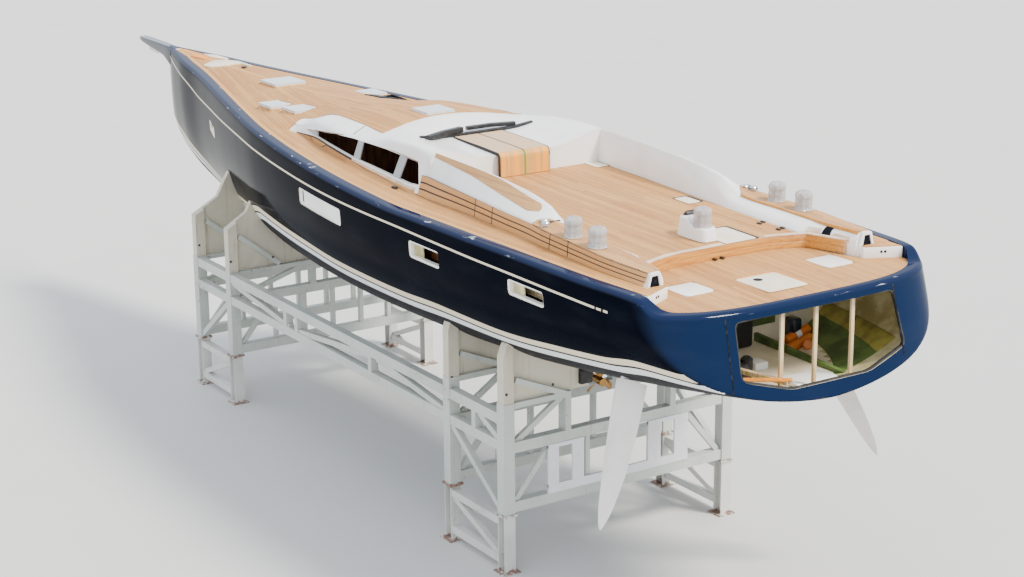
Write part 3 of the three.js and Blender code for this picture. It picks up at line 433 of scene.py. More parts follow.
class Socket:
    """A value in a shader tree. Arithmetic on it adds Math nodes."""

    def __init__(self, tree: "ShaderTree", link: bpy.types.NodeSocket) -> None:
        """Wraps an output socket."""
        self.tree, self.link = tree, link

    def maths(self, operation: str, *values: "Socket | float") -> "Socket":
        """A Math node of this operation on the values."""
        return self.tree.node("Math", {"operation": operation}, dict(enumerate(values)))

    def __add__(self, other: "Socket | float") -> "Socket":
        """Sum."""
        return self.maths("ADD", self, other)

    def __radd__(self, other: float) -> "Socket":
        """Sum, reflected."""
        return self.maths("ADD", other, self)

    def __sub__(self, other: "Socket | float") -> "Socket":
        """Difference."""
        return self.maths("SUBTRACT", self, other)

    def __rsub__(self, other: float) -> "Socket":
        """Difference, reflected."""
        return self.maths("SUBTRACT", other, self)

    def __mul__(self, other: "Socket | float") -> "Socket":
        """Product."""
        return self.maths("MULTIPLY", self, other)

    def __rmul__(self, other: float) -> "Socket":
        """Product, reflected."""
        return self.maths("MULTIPLY", other, self)

    def __truediv__(self, other: "Socket | float") -> "Socket":
        """Quotient."""
        return self.maths("DIVIDE", self, other)

    def absolute(self) -> "Socket":
        """Size without sign."""
        return self.maths("ABSOLUTE", self)

    def floor(self) -> "Socket":
        """Whole part."""
        return self.maths("FLOOR", self)

    def part(self) -> "Socket":
        """Part after the whole."""
        return self.maths("FRACT", self)

    def most(self, other: "Socket | float") -> "Socket":
        """The larger of two."""
        return self.maths("MAXIMUM", self, other)

    def ramp(self, low: float, high: float) -> "Socket":
        """0 below low, 1 above high and smooth between; low may be the larger."""
        flip = low > high
        start, end = (high, low) if flip else (low, high)
        settings = {"interpolation_type": "SMOOTHSTEP"}
        rise = self.tree.node("MapRange", settings, {0: self, 1: start, 2: end, 3: 0.0, 4: 1.0})
        return 1 - rise if flip else rise

    def band(self, low: float, high: float, soft: float) -> "Socket":
        """1 between low and high, 0 outside, with soft edges."""
        return self.ramp(low - soft, low + soft) * self.ramp(high + soft, high - soft)


class ShaderTree:
    """A material's nodes, written as expressions."""

    def __init__(self, name: str) -> None:
        """Starts an empty material."""
        self.material = bpy.data.materials.new(name)
        self.material.use_nodes = True
        self.tree = self.material.node_tree
        self.tree.nodes.clear()

    def node(self, kind: str, settings: dict | None = None, inputs: dict | None = None,
             output: int | str = 0) -> Socket:
        """Adds a shader node, sets it up, then fills its sockets.

        Args:
            kind: the node's type after "ShaderNode".
            settings: its settings by name.
            inputs: values or sockets by the inputs' names or numbers.
            output: the name or number of the output to give.

        Returns:
            That output.
        """
        node = self.tree.nodes.new("ShaderNode" + kind)
        for key, value in (settings or {}).items():
            setattr(node, key, value)
        for key, value in (inputs or {}).items():
            socket = node.inputs[key]
            if isinstance(value, Socket):
                self.tree.links.new(value.link, socket)
            elif isinstance(value, tuple) and socket.type == "RGBA":
                socket.default_value = (*value[:3], 1)
            else:
                socket.default_value = value
        return Socket(self, node.outputs[output])

    def place(self) -> Socket:
        """Object coordinates, in metres."""
        return self.node("TexCoord", output="Object")

    def grain(self) -> Socket:
        """The piece's own UV map, in metres."""
        return self.node("UVMap", {"uv_map": "grain"})

    def split(self, vector: Socket) -> tuple[Socket, Socket, Socket]:
        """The three parts of a vector."""
        node = self.tree.nodes.new("ShaderNodeSeparateXYZ")
        self.tree.links.new(vector.link, node.inputs[0])
        return tuple(Socket(self, out) for out in node.outputs)

    def vector(self, x: Socket | float, y: Socket | float, z: Socket | float = 0.0) -> Socket:
        """A vector of three values."""
        return self.node("CombineXYZ", inputs={0: x, 1: y, 2: z})

    def scaled(self, vector: Socket, scale: tuple[float, float, float]) -> Socket:
        """A vector times another."""
        return self.node("VectorMath", {"operation": "MULTIPLY"}, {0: vector, 1: scale})

    def noise(self, vector: Socket, scale: float, detail: float = 3.0, rough: float = 0.55) -> Socket:
        """Cloudy noise about one half."""
        return self.node("TexNoise", inputs={"Vector": vector, "Scale": scale, "Detail": detail, "Roughness": rough})

    def chance(self, vector: Socket) -> Socket:
        """A random value from 0 to 1 for each vector."""
        return self.node("TexWhiteNoise", {"noise_dimensions": "3D"}, {"Vector": vector})

    def mix(self, share: Socket | float, first: Socket | Colour, second: Socket | Colour) -> Socket:
        """A colour between two."""
        return self.node("Mix", {"data_type": "RGBA"}, {0: share, 6: first, 7: second}, output=2)

    def bump(self, height: Socket, distance: float, strength: float = 1.0) -> Socket:
        """A normal that is pushed about by a height from 0 to 1, which stands for a distance in metres."""
        return self.node("Bump", inputs={"Height": height, "Distance": distance, "Strength": strength})

    def surface(self, **inputs: Socket | float | Colour) -> bpy.types.Material:
        """Ends the tree in a Principled shader; an input's name has _ for its spaces."""
        named = {key.replace("_", " "): value for key, value in inputs.items()}
        shader = self.node("BsdfPrincipled", inputs=named)
        output = self.tree.nodes.new("ShaderNodeOutputMaterial")
        self.tree.links.new(shader.link, output.inputs["Surface"])
        return self.material


# Finishes


@dataclass(frozen=True)
class Gelcoat:
    """Moulded laminate with a gloss, faintly uneven and a little dusty."""

    name: str
    colour: Colour
    dust: Colour = rgb(196, 190, 178)
    dusty: float = 0.22
    rough: float = 0.3

    def build(self) -> bpy.types.Material:
        """Makes the material."""
        t = ShaderTree(self.name)
        place = t.place()
        cloud = t.noise(place, 1.7, 4).ramp(0.42, 0.72)
        speck = t.noise(place, 38.0, 3).ramp(0.55, 0.75)
        colour = t.mix(cloud * self.dusty + speck * 0.06, self.colour, self.dust)
        peel = t.noise(place, 140.0, 2)
        return t.surface(Base_Color=colour, Roughness=cloud * 0.15 + self.rough, Coat_Weight=0.35,
                         Coat_Roughness=0.12, Normal=t.bump(peel, 0.0004, 0.4))


@dataclass(frozen=True)
class HullPaint:
    """Topsides in a dark gloss, with the stripes that the hull's own attributes place; painted light makes the stern a
    brighter blue and the rolled edge bluer, with pale streaks.

    The attribute cove is the height above the cove stripe's line, boot the height above the
    boot stripe's line.
    """

    name: str = "hull_gloss"
    side: Colour = rgb(4, 7, 18)
    # Brighter blue of the stern is painted light: the lit stern and transom, over the same navy paint as the sides
    stern: Colour = rgb(0, 24, 56)
    cream: Colour = rgb(226, 214, 188)
    bottom: Colour = rgb(38, 38, 42)
    # White of the boot stripe, also used for the painted highlight streaks on the rolled edge
    white: Colour = rgb(226, 228, 228)
    # Bluer tone of the rolled gunwale is a painted reflection of the sky on the same navy paint
    gunwale: Colour = rgb(14, 28, 58)

    def build(self) -> bpy.types.Material:
        """Makes the material."""
        t = ShaderTree(self.name)
        place = t.place()
        x = t.split(place)[0]
        boot = t.node("Attribute", {"attribute_name": "boot"}, output="Fac")
        cove = t.node("Attribute", {"attribute_name": "cove"}, output="Fac")
        roll = t.node("Attribute", {"attribute_name": "roll"}, output="Fac")
        aft = t.node("Attribute", {"attribute_name": "stern"}, output="Fac")
        haze = t.noise(t.scaled(place, (0.5, 0.5, 2.0)), 1.3, 4)
        # Painted light: the stern's curve and the transom are mixed towards the brighter blue, as if lit
        body = t.mix(aft * 0.85, self.side, self.stern)
        body = t.mix(haze.ramp(0.45, 0.8) * 0.02, body, rgb(120, 128, 140))
        # Painted reflection: the rolled edge is tinted bluer
        body = t.mix(roll.ramp(0.15, 0.7), body, self.gunwale)
        # Painted highlight: pale vertical streaks of reflection along the rolled edge
        highlight_streak = t.noise(t.scaled(place, (1.2, 1.2, 14.0)), 2.0, 3).ramp(0.66, 0.74) * roll.ramp(0.2, 0.5)
        body = t.mix(highlight_streak * 0.5, body, self.white)
        gap = x.band(-11.02, -10.97, 0.004).most(x.band(-10.86, -10.82, 0.004))
        stripe = cove.band(-0.019, 0.019, 0.002) * x.ramp(-11.13, -11.115) * (1 - gap)
        body = t.mix(stripe, body, self.cream)
        under = t.mix(boot.band(-0.32, -0.17, 0.004), self.bottom, self.white)
        under = t.mix(boot.band(-0.13, 0.05, 0.004), under, self.cream)
        scuff = t.noise(place, 6.0, 5).ramp(0.5, 0.72)
        low = t.mix(scuff * boot.ramp(-0.33, -0.36) * 0.35, under, rgb(92, 88, 86))
        wet = boot.ramp(-0.003, 0.003).most(aft.ramp(0.45, 0.55))
        rough = scuff * 0.12 + 0.42
        rough = rough * (1 - wet) + wet * (haze * 0.06 + 0.05)
        fairing = t.noise(t.scaled(place, (1.0, 1.0, 0.35)), 1.1, 2)
        return t.surface(Base_Color=t.mix(wet, low, body), Roughness=rough, IOR=1.05,
                         Normal=t.bump(fairing, 0.004, 0.5),
                         Coat_Weight=(aft * 0.25).most(roll.ramp(0.1, 0.6) * 0.25), Coat_Roughness=0.06)


@dataclass(frozen=True)
class Planking:
    """Laid teak: planks with dark caulking between them.

    The planks run along u and are counted in v. A mapped piece has u and v in its own map, the
    others take x and y.
    """

    name: str
    colour: Colour = rgb(208, 152, 84)
    deep: Colour = rgb(160, 102, 46)
    caulk: Colour = rgb(58, 44, 34)
    width: float = 0.062
    seam: float = 0.0045
    margin: float = 0.0
    king: float = 0.0
    mapped: bool = False

    def build(self) -> bpy.types.Material:
        """Makes the material."""
        t = ShaderTree(self.name)
        place = t.place()
        x, y, _ = t.split(place)
        u, v = t.split(t.grain())[:2] if self.mapped else (x, y)
        count = v / self.width
        number, share = count.floor(), count.part()
        edge = 0.5 - (share - 0.5).absolute()
        seam = edge.ramp(self.seam / self.width, 0.3 * self.seam / self.width)
        shift = t.chance(t.vector(number, 3.0)) * 2.6
        butt = ((u + shift) / 2.6).part()
        joint = (0.5 - (butt - 0.5).absolute()).ramp(0.0013, 0.0005)
        seam = seam.most(joint)
        tone = t.chance(t.vector(number, ((u + shift) / 2.6).floor()))
        if self.margin:
            inside = v.ramp(self.margin - 0.002, self.margin + 0.002)
            line = v.band(self.margin - 0.003, self.margin + 0.003, 0.001)
            seam = (seam * inside).most(line)
            tone = tone * inside
        if self.king:
            off = y.absolute()
            outside = off.ramp(self.king - 0.002, self.king + 0.002)
            seam = (seam * outside).most(off.band(self.king - 0.003, self.king + 0.003, 0.001))
            tone = tone * outside
        fibre = t.noise(t.scaled(t.vector(u, v, tone), (2.5, 90.0, 7.0)), 1.6, 5, 0.65)
        wear = t.noise(place, 0.9, 4).ramp(0.4, 0.7)
        wood = t.mix(tone * 0.6 + fibre.ramp(0.35, 0.75) * 0.35, self.colour, self.deep)
        wood = t.mix(wear * 0.15, wood, rgb(216, 174, 118))
        colour = t.mix(seam * 0.85, wood, self.caulk)
        height = (1 - seam) * 0.8 + fibre * 0.2
        return t.surface(Base_Color=colour, Roughness=fibre * 0.2 + 0.55, Normal=t.bump(height, 0.0012, 0.7))


@dataclass(frozen=True)
class Varnish:
    """Varnished or oiled boards with the grain along x, y or z."""

    name: str
    colour: Colour
    deep: Colour
    stretch: tuple[float, float, float] = (1.2, 16.0, 16.0)
    rough: float = 0.22
    coat: float = 0.7

    def build(self) -> bpy.types.Material:
        """Makes the material."""
        t = ShaderTree(self.name)
        place = t.place()
        swirl = t.noise(t.scaled(place, self.stretch), 1.4, 5, 0.6)
        pore = t.noise(t.scaled(place, tuple(6 * s for s in self.stretch)), 2.0, 3)
        colour = t.mix(swirl.ramp(0.32, 0.7), self.colour, self.deep)
        colour = t.mix(pore.ramp(0.6, 0.8) * 0.3, colour, self.deep)
        return t.surface(Base_Color=colour, Roughness=pore * 0.12 + self.rough, Coat_Weight=self.coat,
                         Coat_Roughness=0.08, Normal=t.bump(swirl, 0.0006, 0.5))


@dataclass(frozen=True)
class BoardCladding:
    """Three boards with bold dark joints; the map's v runs over all three from 0 to 1."""

    name: str = "clad_boards"
    colour: Colour = rgb(218, 162, 96)
    deep: Colour = rgb(184, 124, 62)
    joint: Colour = rgb(12, 9, 8)
    ends: tuple = (-6.2, -6.82, -8.74, -9.28)

    def build(self) -> bpy.types.Material:
        """Makes the material."""
        t = ShaderTree(self.name)
        u, v, _ = t.split(t.grain())
        seam = v.band(0.285, 0.365, 0.01).most(v.band(0.61, 0.69, 0.01)).most(v.ramp(0.95, 0.98))
        for place in self.ends:
            seam = seam.most(u.band(place - 0.013, place + 0.013, 0.002))
        board = (v * 3.0).floor()
        fibre = t.noise(t.scaled(t.vector(u, v, board), (2.0, 26.0, 7.0)), 1.5, 5, 0.65)
        tone = t.chance(t.vector(board, (u / 2.1).floor()))
        wood = t.mix(fibre.ramp(0.3, 0.72) * 0.5 + tone * 0.3, self.colour, self.deep)
        return t.surface(Base_Color=t.mix(seam, wood, self.joint), Roughness=fibre * 0.2 + 0.45,
                         Normal=t.bump((1 - seam) * 0.8 + fibre * 0.2, 0.003, 0.8))


@dataclass(frozen=True)
class CoverCloth:
    """The padded cover: plain tan on top, with orange bands that run down its aft face."""

    name: str = "cover_cloth"
    top: Colour = rgb(204, 172, 134)
    face: Colour = rgb(198, 146, 74)
    band: Colour = rgb(246, 160, 30)

    def build(self) -> bpy.types.Material:
        """Makes the material."""
        t = ShaderTree(self.name)
        place = t.place()
        x = t.split(place)[0]
        wide = t.noise(t.scaled(place, (0.0, 5.0, 0.1)), 1.6, 1).ramp(0.5, 0.53)
        thin = t.noise(t.scaled(place, (0.0, 31.0, 0.4)), 1.3, 2).ramp(0.55, 0.62)
        aft = x.ramp(-4.36, -4.5)
        weave = t.noise(place, 150.0, 2)
        face = t.mix((wide * 0.85).most(thin * 0.6), self.face, self.band)
        face = t.mix(t.noise(t.scaled(place, (0.0, 14.0, 0.5)), 1.2, 2).ramp(0.6, 0.66) * 0.5, face,
                     rgb(176, 126, 74))
        board = t.noise(t.scaled(place, (1.0, 12.0, 1.0)), 2.0, 4)
        colour = t.mix(aft, t.mix(board.ramp(0.4, 0.7) * 0.3, self.top, rgb(180, 144, 104)), face)
        return t.surface(Base_Color=colour, Roughness=0.6, Normal=t.bump(weave * 0.5 + board * 0.5, 0.001, 0.6))


@dataclass(frozen=True)
class Film:
    """Clear wrapping that hangs in folds round a drum, greyer along the folds as painted shade; the map's u runs round
    it.
    """

    name: str = "clear_wrap"
    colour: Colour = rgb(238, 234, 230)

    def build(self) -> bpy.types.Material:
        """Makes the material."""
        t = ShaderTree(self.name)
        u, v, _ = t.split(t.grain())
        folds = t.noise(t.vector(u * 9.0, v * 2.2), 2.4, 4, 0.6)
        crumple = t.noise(t.place(), 21.0, 4)
        # Painted shade: the colour turns greyer with the folds' pattern, standing in for the shade of the folds
        tone = t.mix(folds.ramp(0.35, 0.65), self.colour, rgb(176, 168, 164))
        alpha = folds.ramp(0.38, 0.6) * 0.4 + crumple * 0.2 + 0.36
        return t.surface(Base_Color=tone, Roughness=crumple * 0.15 + 0.12, Alpha=alpha, Coat_Weight=0.6,
                         Normal=t.bump(folds * 0.7 + crumple * 0.3, 0.03, 0.9))


@dataclass(frozen=True)
class PaintedSteel:
    """Painted structural steel with rust, its legs below the splices in a lighter paint."""

    name: str = "cradle_paint"
    colour: Colour = rgb(188, 192, 184)
    leg: Colour = rgb(208, 206, 199)
    rust: Colour = rgb(116, 70, 42)
    splice: float = 1.07

    def build(self) -> bpy.types.Material:
        """Makes the material."""
        t = ShaderTree(self.name)
        place = t.place()
        _, _, z = t.split(place)
        cloud = t.noise(place, 1.1, 5, 0.6)
        fine = t.noise(place, 13.0, 5, 0.65)
        run = t.noise(t.scaled(place, (9.0, 9.0, 0.9)), 1.6, 4)
        colour = t.mix(z.ramp(self.splice - 0.01, self.splice + 0.01), self.leg, self.colour)
        colour = t.mix(cloud.ramp(0.4, 0.7) * 0.3, colour, rgb(150, 154, 146))
        colour = t.mix(run.ramp(0.55, 0.75) * 0.25, colour, rgb(150, 128, 104))
        near = z.band(self.splice - 0.045, self.splice + 0.03, 0.02) + z.ramp(0.12, 0.02)
        bite = (fine * 0.6 + cloud * 0.4 + near * 0.16).ramp(0.6, 0.68)
        colour = t.mix(bite * 0.85, colour, self.rust)
        return t.surface(Base_Color=colour, Roughness=bite * 0.35 + 0.42, Metallic=0.0,
                         Normal=t.bump(fine * 0.4 + bite * 0.6, 0.0015, 0.6))


@dataclass(frozen=True)
class SaddlePaint:
    """Cream paint on the saddles, with drips and a stained foot."""

    name: str = "saddle_paint"
    colour: Colour = rgb(200, 192, 172)

    def build(self) -> bpy.types.Material:
        """Makes the material."""
        t = ShaderTree(self.name)
        place = t.place()
        _, _, z = t.split(place)
        cloud = t.noise(place, 1.6, 4)
        drip = t.noise(t.scaled(place, (11.0, 11.0, 0.7)), 1.5, 4).ramp(0.56, 0.72)
        fine = t.noise(place, 24.0, 4)
        colour = t.mix(cloud.ramp(0.4, 0.7) * 0.35, self.colour, rgb(170, 160, 140))
        colour = t.mix(drip * 0.35, colour, rgb(146, 112, 80))
        colour = t.mix((fine * 0.6 + z.ramp(3.2, 2.9) * 0.2).ramp(0.5, 0.6) * 0.5, colour, rgb(128, 92, 62))
        return t.surface(Base_Color=colour, Roughness=fine * 0.2 + 0.45, Normal=t.bump(fine, 0.001, 0.5))


@dataclass(frozen=True)
class RawLaminate:
    """Unpainted laminate inside the hull, with its weave and resin stains."""

    name: str
    colour: Colour
    stain: Colour

    def build(self) -> bpy.types.Material:
        """Makes the material."""
        t = ShaderTree(self.name)
        place = t.place()
        x, y, z = t.split(place)
        weave = ((x * 60.0).part() - 0.5).absolute() + (((y + z) * 60.0).part() - 0.5).absolute()
        cloud = t.noise(place, 2.2, 5, 0.6)
        colour = t.mix(cloud.ramp(0.38, 0.66), self.colour, self.stain)
        colour = t.mix(weave * 0.12, colour, self.stain)
        return t.surface(Base_Color=colour, Roughness=cloud * 0.2 + 0.4,
                         Normal=t.bump(weave * 0.4 + cloud * 0.6, 0.002, 0.5))


@dataclass(frozen=True)
class Metal:
    """Plain metal, faintly brushed and stained."""

    name: str
    colour: Colour
    rough: float = 0.25

    def build(self) -> bpy.types.Material:
        """Makes the material."""
        t = ShaderTree(self.name)
        place = t.place()
        cloud = t.noise(place, 5.0, 4)
        scratch = t.noise(t.scaled(place, (60.0, 4.0, 4.0)), 2.0, 3)
        colour = t.mix(cloud.ramp(0.45, 0.75) * 0.3, self.colour, rgb(92, 84, 74))
        return t.surface(Base_Color=colour, Roughness=cloud * 0.2 + self.rough, Metallic=1.0,
                         Normal=t.bump(scratch, 0.0003, 0.5))


@dataclass(frozen=True)
class Fitting:
    """Black plastic, rubber or dark glass."""

    name: str
    colour: Colour = rgb(24, 25, 28)
    rough: float = 0.4
    coat: float = 0.0
    ior: float = 1.45

    def build(self) -> bpy.types.Material:
        """Makes the material."""
        t = ShaderTree(self.name)
        place = t.place()
        dust = t.noise(place, 9.0, 4).ramp(0.45, 0.8)
        grain = t.noise(place, 160.0, 2)
        colour = t.mix(dust * 0.18, self.colour, rgb(128, 122, 114))
        return t.surface(Base_Color=colour, Roughness=dust * 0.15 + self.rough, Coat_Weight=self.coat, IOR=self.ior,
                         Normal=t.bump(grain, 0.0003, 0.4))


class Palette:
    """All the finishes of the yacht and its cradle, each built once."""

    def __init__(self) -> None:
        """Builds the materials."""
        self.hull = HullPaint().build()
        self.hull_plain = Gelcoat("spar_gloss", rgb(30, 36, 50), rgb(120, 128, 140), 0.1, 0.1).build()
        self.white = Gelcoat("white_gelcoat", rgb(246, 244, 240)).build()
        self.primer = Gelcoat("window_rebate", rgb(158, 160, 163), rough=0.5).build()
        self.cream = Gelcoat("cream_laminate", rgb(238, 226, 200), rgb(196, 170, 120), 0.35, 0.42).build()
        self.blade = Gelcoat("rudder_primer", rgb(236, 228, 220), rgb(170, 168, 162), 0.3, 0.35).build()
        self.insert = Gelcoat("insert_paint", rgb(224, 222, 224), rgb(160, 150, 140), 0.25, 0.45).build()
        self.lid = Gelcoat("hatch_lens", rgb(206, 211, 214), rough=0.12, dusty=0.12).build()
        self.deck = Planking("deck_planks", mapped=True, margin=0.12, king=0.06).build()
        self.straight = Planking("straight_planks").build()
        self.cladding_fine = Planking("coaming_planks", rgb(206, 156, 98), rgb(168, 116, 66), width=0.05,
                                      seam=0.002, mapped=True).build()
        self.boards = BoardCladding().build()
        self.cover = CoverCloth().build()
        self.varnish = Varnish("varnished_boards", rgb(212, 150, 62), rgb(186, 116, 40), (16.0, 1.2, 16.0)).build()
        self.raw_edge = Varnish("raw_edge", rgb(236, 152, 44), rgb(206, 118, 30), rough=0.5, coat=0.0).build()
        self.coving = Varnish("pale_coving", rgb(226, 204, 184), rgb(200, 172, 146), (4.0, 1.2, 16.0), 0.5,
                              0.0).build()
        self.pine = Varnish("pine", rgb(222, 200, 160), rgb(190, 156, 108), (14.0, 14.0, 1.2), 0.55, 0.0).build()
        self.joinery = Varnish("joinery", rgb(132, 86, 50), rgb(84, 50, 28), (10.0, 10.0, 1.2), 0.4, 0.3).build()
        self.film = Film().build()
        self.steel = PaintedSteel().build()
        self.saddle = SaddlePaint().build()
        self.inside = RawLaminate("inner_skin", rgb(214, 203, 160), rgb(160, 146, 96)).build()
        self.green = RawLaminate("green_flocoat", rgb(98, 124, 62), rgb(66, 84, 40)).build()
        self.yellow = RawLaminate("yellow_core", rgb(176, 166, 80), rgb(124, 112, 50)).build()
        self.bronze = Metal("bronze", rgb(176, 132, 76), 0.3).build()
        self.stainless = Metal("stainless", rgb(206, 208, 210), 0.14).build()
        self.engine = Metal("engine_grey", rgb(120, 126, 130), 0.4).build()
        self.black = Fitting("black_fitting").build()
        self.rubber = Fitting("rubber", rgb(32, 30, 30), 0.65).build()
        # Dark fitting that also stands as painted shade: the transom's shadow lines, the recess and console openings,
        # the board's hole and the open hatch
        self.screen = Fitting("dark_screen", rgb(22, 25, 32), 0.35, ior=1.08).build()
        self.strap = Fitting("green_strap", rgb(92, 140, 46), 0.7).build()
        self.orange = Fitting("orange_float", rgb(222, 122, 40), 0.4).build()


# The hull and what is moulded to it


@dataclass
class HullForm:
    """The hull's shape as formulas.

    At a place x and a share s of the height above the keel line, the half breadth is
    y = half(x) * (1 - (1 - s)^power(x))^bilge. Towards the stern it is blended with the stern's
    plan curve y = stern_half * (1 - a^stern_power)^(1/stern_power), where a runs from 0 at the
    curve's start to 1 at the transom, which leans by rake. The blend is
    (side^-k + plan^-k)^(-1/k).
    """

    # Columns: x, half breadth at the gunwale, height of the keel line, fullness of the section
    stations: tuple = (
        (11.35, 0.045, 4.72, 3.4), (10.9, 0.2, 4.27, 3.4), (10.2, 0.4, 3.96, 3.4), (9.4, 0.61, 3.72, 3.4),
        (8.0, 0.9, 3.45, 3.4), (6.6, 1.24, 3.26, 3.4), (5.2, 1.6, 3.13, 3.4), (3.4, 2.05, 3.04, 3.4),
        (2.0, 2.37, 3.01, 3.4), (0.5, 2.63, 3.005, 3.4), (-0.6, 2.78, 3.02, 3.4), (-1.8, 2.915, 3.045, 3.35),
        (-2.95, 3.0, 3.085, 3.25), (-4.4, 3.058, 3.155, 3.2), (-5.8, 3.075, 3.245, 3.1), (-7.3, 3.07, 3.37, 3.0),
        (-8.5, 3.03, 3.515, 2.9), (-9.5, 2.98, 3.665, 2.85), (-10.4, 2.925, 3.82, 2.8), (-11.3, 2.86, 3.985, 2.8),
        (-12.3, 2.79, 4.19, 2.8), (-13.5, 2.7, 4.46, 2.8),
    )
    sheer_mid: float = 6.17
    sheer_slope: float = 0.0255
    bilge: float = 0.62
    roll: float = 0.1
    cap: float = 0.25
    stem_x: float = 11.35
    stern_start: float = -10.9
    stern_depth: float = 1.68
    stern_half: float = 2.95
    stern_power: float = 3.5
    rake: float = 0.333
    rake_top: float = 5.84
    blend: float = 60.0
    bend_x: float = -10.2
    # Columns: x, how far the side decks and the gunwale rise above the sheer line
    rise: tuple = ((-3.0, 0.0), (-4.4, 0.0), (-5.5, 0.04), (-7.0, 0.095), (-8.4, 0.135), (-9.5, 0.15), (-10.5, 0.165),
                   (-11.5, 0.19), (-11.75, 0.18), (-12.02, 0.03), (-12.15, 0.0), (-13.5, 0.0))
    table: Callable = field(init=False)
    raised: Callable = field(init=False)

    def __post_init__(self) -> None:
        """Makes the tables smooth."""
        self.table = smooth_table(self.stations)
        self.raised = smooth_table(self.rise)

    def sheer(self, x: Array) -> Array:
        """The gunwale's height."""
        return self.sheer_mid + self.sheer_slope * np.asarray(x, float)

    def rail(self, x: Array) -> Array:
        """The gunwale's height, which rises beside the cockpit."""
        return self.sheer(x) + self.raised(x)[..., 0]

    def half(self, x: Array) -> Array:
        """The half breadth at the gunwale."""
        return self.table(x)[..., 0]

    def cap_width(self, x: Array) -> Array:
        """The gunwale cap's width."""
        return np.minimum(self.cap, self.half(x) * 0.5)

    def deck_edge(self, x: Array) -> Array:
        """Half the deck's width."""
        return self.half(x) - self.cap_width(x)

    def stern_x(self, z: Array, inset: float = 0.0) -> Array:
        """Where the transom lies on the centreline at a height."""
        return self.stern_start - self.stern_depth + inset - (self.rake_top - z) * self.rake

    def limits(self, x: Array, z: Array, inset: float = 0.0) -> tuple[Array, Array]:
        """The half breadths of the side's and of the stern's formula at places and heights."""
        columns = self.table(x)
        half, keel, power = columns[..., 0] - inset, columns[..., 1] + inset, columns[..., 2]
        share = np.clip((z - keel) / (self.sheer(x) - keel), 0, 1)
        side = half * (1 - (1 - share) ** power) ** self.bilge
        start = self.stern_start - (self.rake_top - z) * self.rake
        a = np.clip((start - x) / (self.stern_depth - inset), 0, 1)
        plan = (self.stern_half - inset) * (1 - a**self.stern_power) ** (1 / self.stern_power)
        return side, np.where(a > 0, plan, np.maximum(2 * side, plan))

    def breadth(self, x: Array, z: Array, inset: float = 0.0) -> Array:
        """The skin's half breadth at places and heights."""
        side, plan = self.limits(x, z, inset)
        low, high = np.minimum(side, plan), np.maximum(side, plan)
        near = np.clip((self.stern_start + 0.4 - x) / 1.0, 0, 1)
        near = near * near * (3 - 2 * near)
        return low * (1 + near * (low / np.maximum(high, 1e-9)) ** self.blend) ** (-1 / self.blend)

    def aftness(self, x: Array, z: Array) -> Array:
        """0 where the side governs the plan, 1 where the stern's curve does, and smooth between."""
        side, plan = self.limits(x, z)
        return np.clip((1.02 - plan / np.maximum(side, 1e-6)) / 0.05, 0, 1)

    def skin(self, inset: float = 0.0, fore: float | None = None, drop: float = 0.0, rows: int = 150,
             columns: int = 56) -> tuple[Array, list]:
        """The closed solid within the skin.

        Args:
            inset: how far it lies within the outer skin.
            fore: where it starts flat, the rounded stem if not given.
            drop: how far its flat top lies below the gunwale; a solid with none gets the rolled edge.
            rows: rows of points along the straight part.
            columns: points from keel to top.

        Returns:
            Vertices and faces.
        """
        start = self.stem_x if fore is None else fore
        nose = start - 0.05 * (1 - np.cos(np.linspace(0, math.pi / 2, 7)))
        head = np.concatenate([nose, np.linspace(nose[-1], self.bend_x, rows)[1:]])
        bend = np.sin(np.linspace(0, math.pi / 2, 70))[1:, None]
        share = np.linspace(0, 1, columns)[None] ** 1.5

        def height(x: Array) -> Array:
            """Heights of the points at their places."""
            keel = self.table(x)[..., 1] + inset
            fall = drop if drop else self.roll * np.clip(self.half(x) / 0.2, 0.2, 1)
            return keel + share * ((self.sheer(x) if drop else self.rail(x)) - fall - keel)

        tail = np.full((len(bend), columns), -12.0)
        for _ in range(6):
            tail = self.bend_x + (self.stern_x(height(tail), inset) - self.bend_x) * bend
        x = np.concatenate([np.repeat(head[:, None], columns, axis=1), tail])
        z = height(x)
        y = self.breadth(x, z, inset)
        y[-1] = 0
        if fore is None:
            y *= np.sqrt(1 - (1 - np.clip((start - x) / 0.05, 0, 1)) ** 2)
        port = np.stack([x, y, z], axis=-1)
        if not drop:
            port = np.concatenate([port, self.rolled_edge(port[:, -1])], axis=1)
        whole = np.concatenate([port[:, ::-1] * (1, -1, 1), port[:, 1:]], axis=1)
        count, across = whole.shape[:2]
        left = np.arange(count) * across
        right = left + across - 1
        lid = np.stack([right[:-1], left[:-1], left[1:], right[1:]], axis=1)
        faces = grid_faces(count, across).tolist() + lid.tolist()
        if fore is not None:
            faces.append(list(range(across))[::-1])
        return whole.reshape(-1, 3), faces

    def rolled_edge(self, edge: Array, steps: int = 8) -> Array:
        """The quarter round from the side's top edge in to the cap, square to the plan curve."""
        along = np.gradient(edge[:, :2], axis=0)
        outward = np.stack([along[:, 1], -along[:, 0]], axis=1)
        outward /= np.maximum(np.linalg.norm(outward, axis=1, keepdims=True), 1e-9)
        outward[0], outward[-1] = (1, 0), (-1, 0)
        tall = (self.rail(edge[:, 0]) - edge[:, 2])[:, None]
        reach = np.minimum(tall, 0.6 * edge[:, 1:2] + 0.5 * np.clip(tall - edge[:, 1:2], 0, None))
        reach[-12:] = tall[-12:]
        angle = np.linspace(0, math.pi / 2, steps + 1)[1:][None, :, None]
        flat = edge[:, None, :2] - (reach * outward)[:, None] * (1 - np.cos(angle))
        flat[..., 1] = np.maximum(flat[..., 1], 0)
        flat[0, :, 1] = flat[-1, :, 1] = 0
        return np.concatenate([flat, edge[:, None, 2:] + tall[:, None] * np.sin(angle)], axis=-1)

